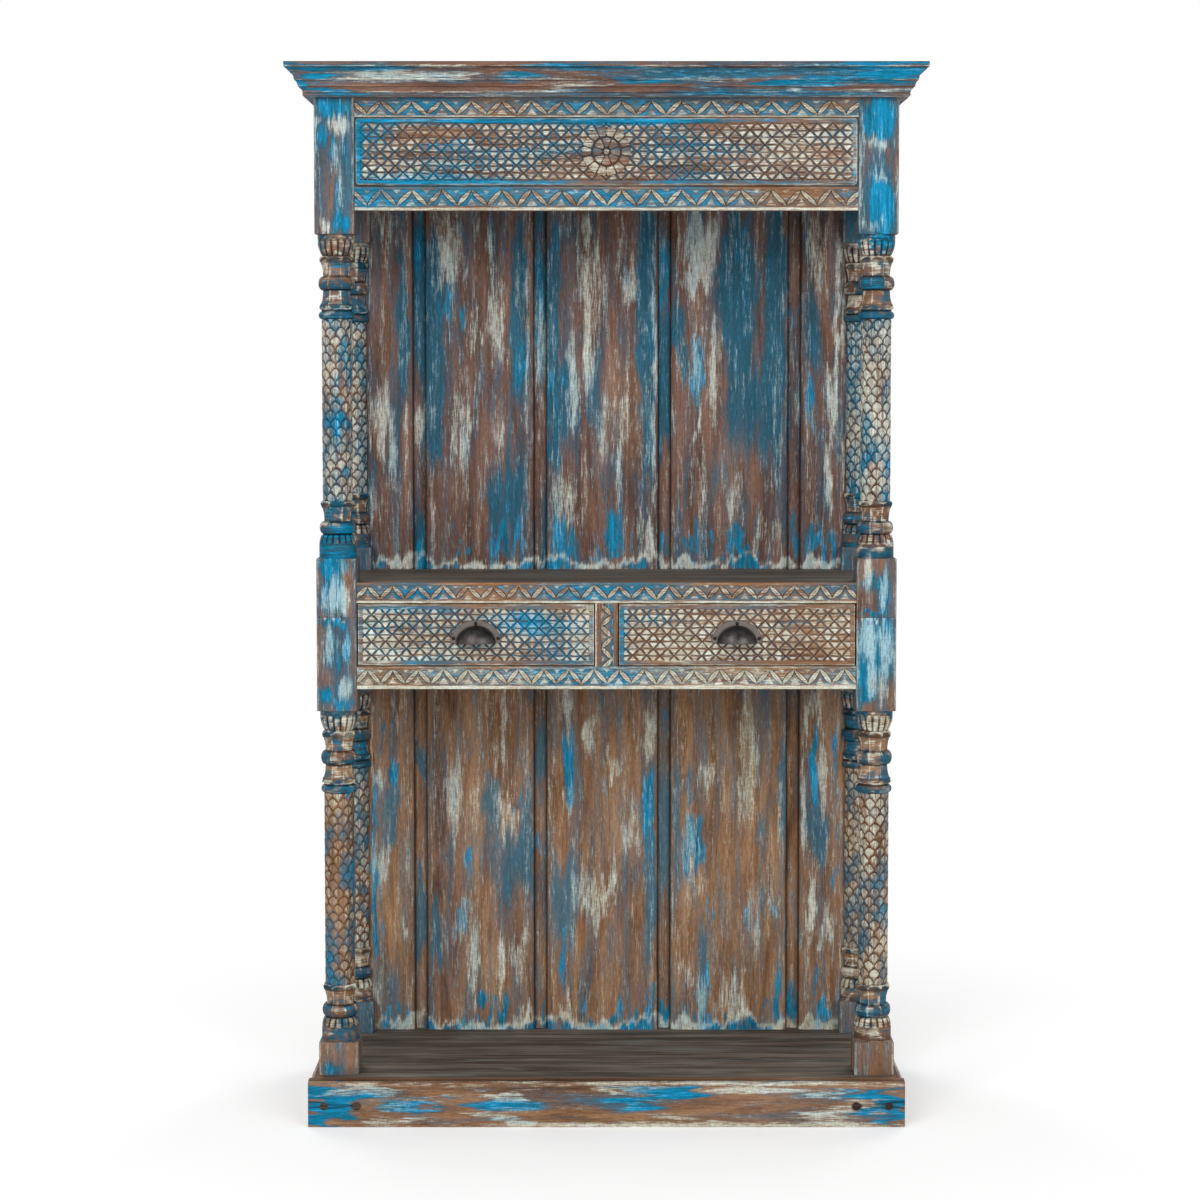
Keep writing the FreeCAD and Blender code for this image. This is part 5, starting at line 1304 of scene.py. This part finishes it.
def plinth_board(node, facing):
    """A plinth board with a rounded top arris; facing is 0 for the front, or -1 and 1 for the sides."""
    low, high = span(node)
    size = high - low
    turn = np.linspace(0, math.pi / 2, PLINTH_ARRIS_POINTS)
    flat = size[Z] - PLINTH_ARRIS
    face_up = stations(0, flat, PLINTH_UP_STEP)[:1 - ARRIS_POINTS]
    face_up = np.concatenate([face_up, flat + PLINTH_ARRIS * np.sin(turn)])
    face_in = np.concatenate([np.zeros(len(face_up) - len(turn)), PLINTH_ARRIS * (1 - np.cos(turn))])
    length_axis, depth_axis = (X, Y) if facing == 0 else (Y, X)
    step = PLINTH_FRONT_STEP if facing == 0 else PLINTH_SIDE_STEP
    along = stations(low[length_axis], high[length_axis], step)
    grid_along, grid_up = np.meshgrid(along, low[Z] + face_up, indexing="ij")
    waves = PLINTH_UNEVEN * wobble(grid_along, grid_up, *PLINTH_WAVES)
    fall = np.repeat(face_in[None], len(along), axis=0) + PLINTH_UNEVEN + waves
    crack, knot = np.zeros(fall.shape), np.zeros(fall.shape)
    if facing == 0:
        from_end = size[X] / 2 - np.abs(grid_along)
        from_knot = np.hypot(from_end - KNOT_FROM_END, (grid_up - KNOT_LEVEL) * 1.2)
        knot = np.exp(-((from_knot / KNOT_RADIUS) ** 4))
        reach = np.clip((KNOT_FROM_END - from_end) / KNOT_FROM_END, 0, 1)
        for slope in CRACK_SLOPES:
            line = KNOT_LEVEL + slope * CRACK_FALL * reach + 1.2 * np.sin(from_end / 9)
            near = np.exp(-((grid_up - line) / CRACK_WIDTH) ** 2)
            crack = np.maximum(crack, near * (from_end < KNOT_FROM_END))
        fall = fall + CRACK_DEPTH * crack + KNOT_DEPTH * knot
    fall = np.maximum(fall, eased(grid_along, along[0], along[-1]))
    outer = low[Y] if facing == 0 else (low[X] if facing < 0 else high[X])
    inner = high[Y] if facing == 0 else (high[X] if facing < 0 else low[X])
    front = outer + fall * (1 if inner > outer else -1)
    arris = np.exp(-((grid_up - high[Z] + PLINTH_ARRIS * 0.4) / 4.0) ** 2)
    foot = 1 - smooth(grid_up, 0, 8)
    ragged = stroked(grid_up, grid_along, *PLINTH_STROKE)
    if facing == 0:
        blue, cream = 0.16 + spots(ragged, grid_up, PLINTH_BLUE), 0.16 + spots(ragged, grid_up, PLINTH_CREAM)
    else:
        blue, cream = 0.26 + 0.25 * wobble(ragged, grid_up, *PLINTH_MOOD), 0.24
    seam = np.repeat(smooth(face_in, 0.75 * PLINTH_ARRIS, PLINTH_ARRIS)[None], len(along), axis=0)
    axes = (length_axis, Z, depth_axis)
    paint = level_paint if facing == 0 else side_paint
    board(
        "painted", node, axes, (grid_along, grid_up), front, inner, paint,
        blue=blue - 0.3 * arris - 0.4 * foot - 0.5 * knot,
        glaze=blue + 0.12 - 0.3 * arris - 0.4 * foot - 0.5 * knot,
        cream=cream + 0.25 * arris + 0.25 * foot - 0.5 * knot,
        # Painted shade in the cracks; the knots are dark wood, and the top has a dark joint line
        dark=np.clip(crack + knot + 0.8 * seam, 0, 1),
        tan=0.6 + spots(ragged, grid_up, PLINTH_TAN) * (facing == 0),
    )


for side, facing in FACINGS:
    plinth_board(f"plinth_{side}", facing)


# CAD nodes that keep their shape and get a finish
KEPT_FINISHES = (
    (deck_wood, ("base_deck", "shelf_board")),
    (plug_wood, ("plinth_plugs",)),
    (panel_paint, ("carcase_left_side", "carcase_right_side", "header_left_end", "header_right_end")),
    (raw_wood, ("top_board", "plinth_back")),
    (raw_wood, ("back_low_rail", "back_top_rail", "base_corner_blocks", "dust_board", "drawer_centre_guide")),
    (raw_wood, ("drawer_outer_guides", "post_dowels")),
    (box_wood, [drawer + part for drawer in DRAWERS for part in ("_bottom", "_inner_side", "_outer_side")]),
    (box_back_wood, [drawer + "_back" for drawer in DRAWERS]),
    (screw_steel, [drawer + "_pull_screws" for drawer in DRAWERS]),
)
for finish, names in KEPT_FINISHES:
    for name in names:
        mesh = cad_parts[name].data
        mesh.materials.clear()
        mesh.materials.append(finish)


# Stage, in metres: a white floor that keeps the shadow, a white surround and soft lamps

FLOOR_HALF = 30.0
FLOOR_COLOUR = (0.8, 0.8, 0.8, 1.0)
FLOOR_GLOW = 0.27
FLOOR_FADE = (0.75, 1.5)
AMBIENT = 0.45
WHITE = (1.0, 1.0, 1.0, 1.0)
LAMP_TARGET = (0, 0, 0.9)
# Soft boxes: name, place, side and power in watts
LAMPS = (
    ("key", (-1.9, -4.2, 3.3), 2.6, 125),
    ("fill", (2.4, -4.0, 2.2), 2.6, 75),
    ("rear_left", (-3.0, 3.6, 3.0), 2.4, 60),
    ("rear_right", (3.0, 3.6, 3.0), 2.4, 60),
)


def seen_directly(tree):
    """1 where a ray comes from the camera, a mirror-like surface or clear glass."""
    light_path = tree.nodes.new("ShaderNodeLightPath")
    result = light_path.outputs["Is Camera Ray"]
    for name in ("Is Glossy Ray", "Is Transmission Ray"):
        either = tree.nodes.new("ShaderNodeMath")
        either.operation = "MAXIMUM"
        tree.links.new(result, either.inputs[0])
        tree.links.new(light_path.outputs[name], either.inputs[1])
        result = either.outputs[0]
    return result


def make_floor():
    """A white floor that shades near the unit and fades to plain white further off."""
    finish = Finish("floor_white")
    tree, shader = finish.tree, finish.shader
    direct = seen_directly(tree)
    shader.inputs["Base Color"].default_value = FLOOR_COLOUR
    shader.inputs["Roughness"].default_value = 1.0
    shader.inputs["Emission Color"].default_value = WHITE
    finish.feed(shader.inputs["Emission Strength"], finish.math("MULTIPLY", direct, FLOOR_GLOW))
    away = finish.node("ShaderNodeVectorMath", {0: finish.place}, "Value", operation="LENGTH")
    far = finish.math("MULTIPLY", finish.band(away, *FLOOR_FADE), direct)
    glow = finish.node("ShaderNodeEmission", {"Color": WHITE, "Strength": 1.0})
    mixed = finish.node("ShaderNodeMixShader", {0: far, 1: shader.outputs[0], 2: glow})
    finish.feed(tree.nodes["Material Output"].inputs["Surface"], mixed)
    mesh = bpy.data.meshes.new("floor")
    corners = ((-1, -1), (1, -1), (1, 1), (-1, 1))
    mesh.from_pydata([(x * FLOOR_HALF, y * FLOOR_HALF, 0) for x, y in corners], [], [(0, 1, 2, 3)])
    mesh.materials.append(finish.material)
    floor = bpy.data.objects.new("floor", mesh)
    bpy.context.scene.collection.objects.link(floor)


def make_world():
    """A surround that looks plain white, and lights the unit at less than that strength."""
    world = bpy.data.worlds.new("studio")
    world.use_nodes = True
    tree = world.node_tree
    background = tree.nodes["Background"]
    background.inputs["Color"].default_value = WHITE
    strength = tree.nodes.new("ShaderNodeMapRange")
    strength.inputs["To Min"].default_value = AMBIENT
    strength.inputs["To Max"].default_value = 1.0
    tree.links.new(seen_directly(tree), strength.inputs["Value"])
    tree.links.new(strength.outputs[0], background.inputs["Strength"])
    bpy.context.scene.world = world


def make_lamp(name, place, size, power):
    """A square soft box at a place, which faces the unit."""
    data = bpy.data.lights.new(name, "AREA")
    data.size = size
    data.energy = power
    lamp = bpy.data.objects.new(name, data)
    lamp.location = place
    lamp.rotation_euler = (Vector(LAMP_TARGET) - Vector(place)).to_track_quat("-Z", "Y").to_euler()
    bpy.context.scene.collection.objects.link(lamp)


def make_camera():
    """The camera of the photograph, tilted a little down, with its frame shifted to hold the unit."""
    data = bpy.data.cameras.new("camera")
    data.lens = CAMERA_LENS
    data.shift_x, data.shift_y = CAMERA_SHIFT
    camera = bpy.data.objects.new("camera", data)
    camera.location = CAMERA_PLACE
    camera.rotation_euler = (math.radians(90 - CAMERA_TILT), 0, 0)
    bpy.context.scene.collection.objects.link(camera)
    bpy.context.scene.camera = camera


make_floor()
make_world()
for lamp_values in LAMPS:
    make_lamp(*lamp_values)
make_camera()
bpy.context.scene.view_settings.view_transform = "Standard"
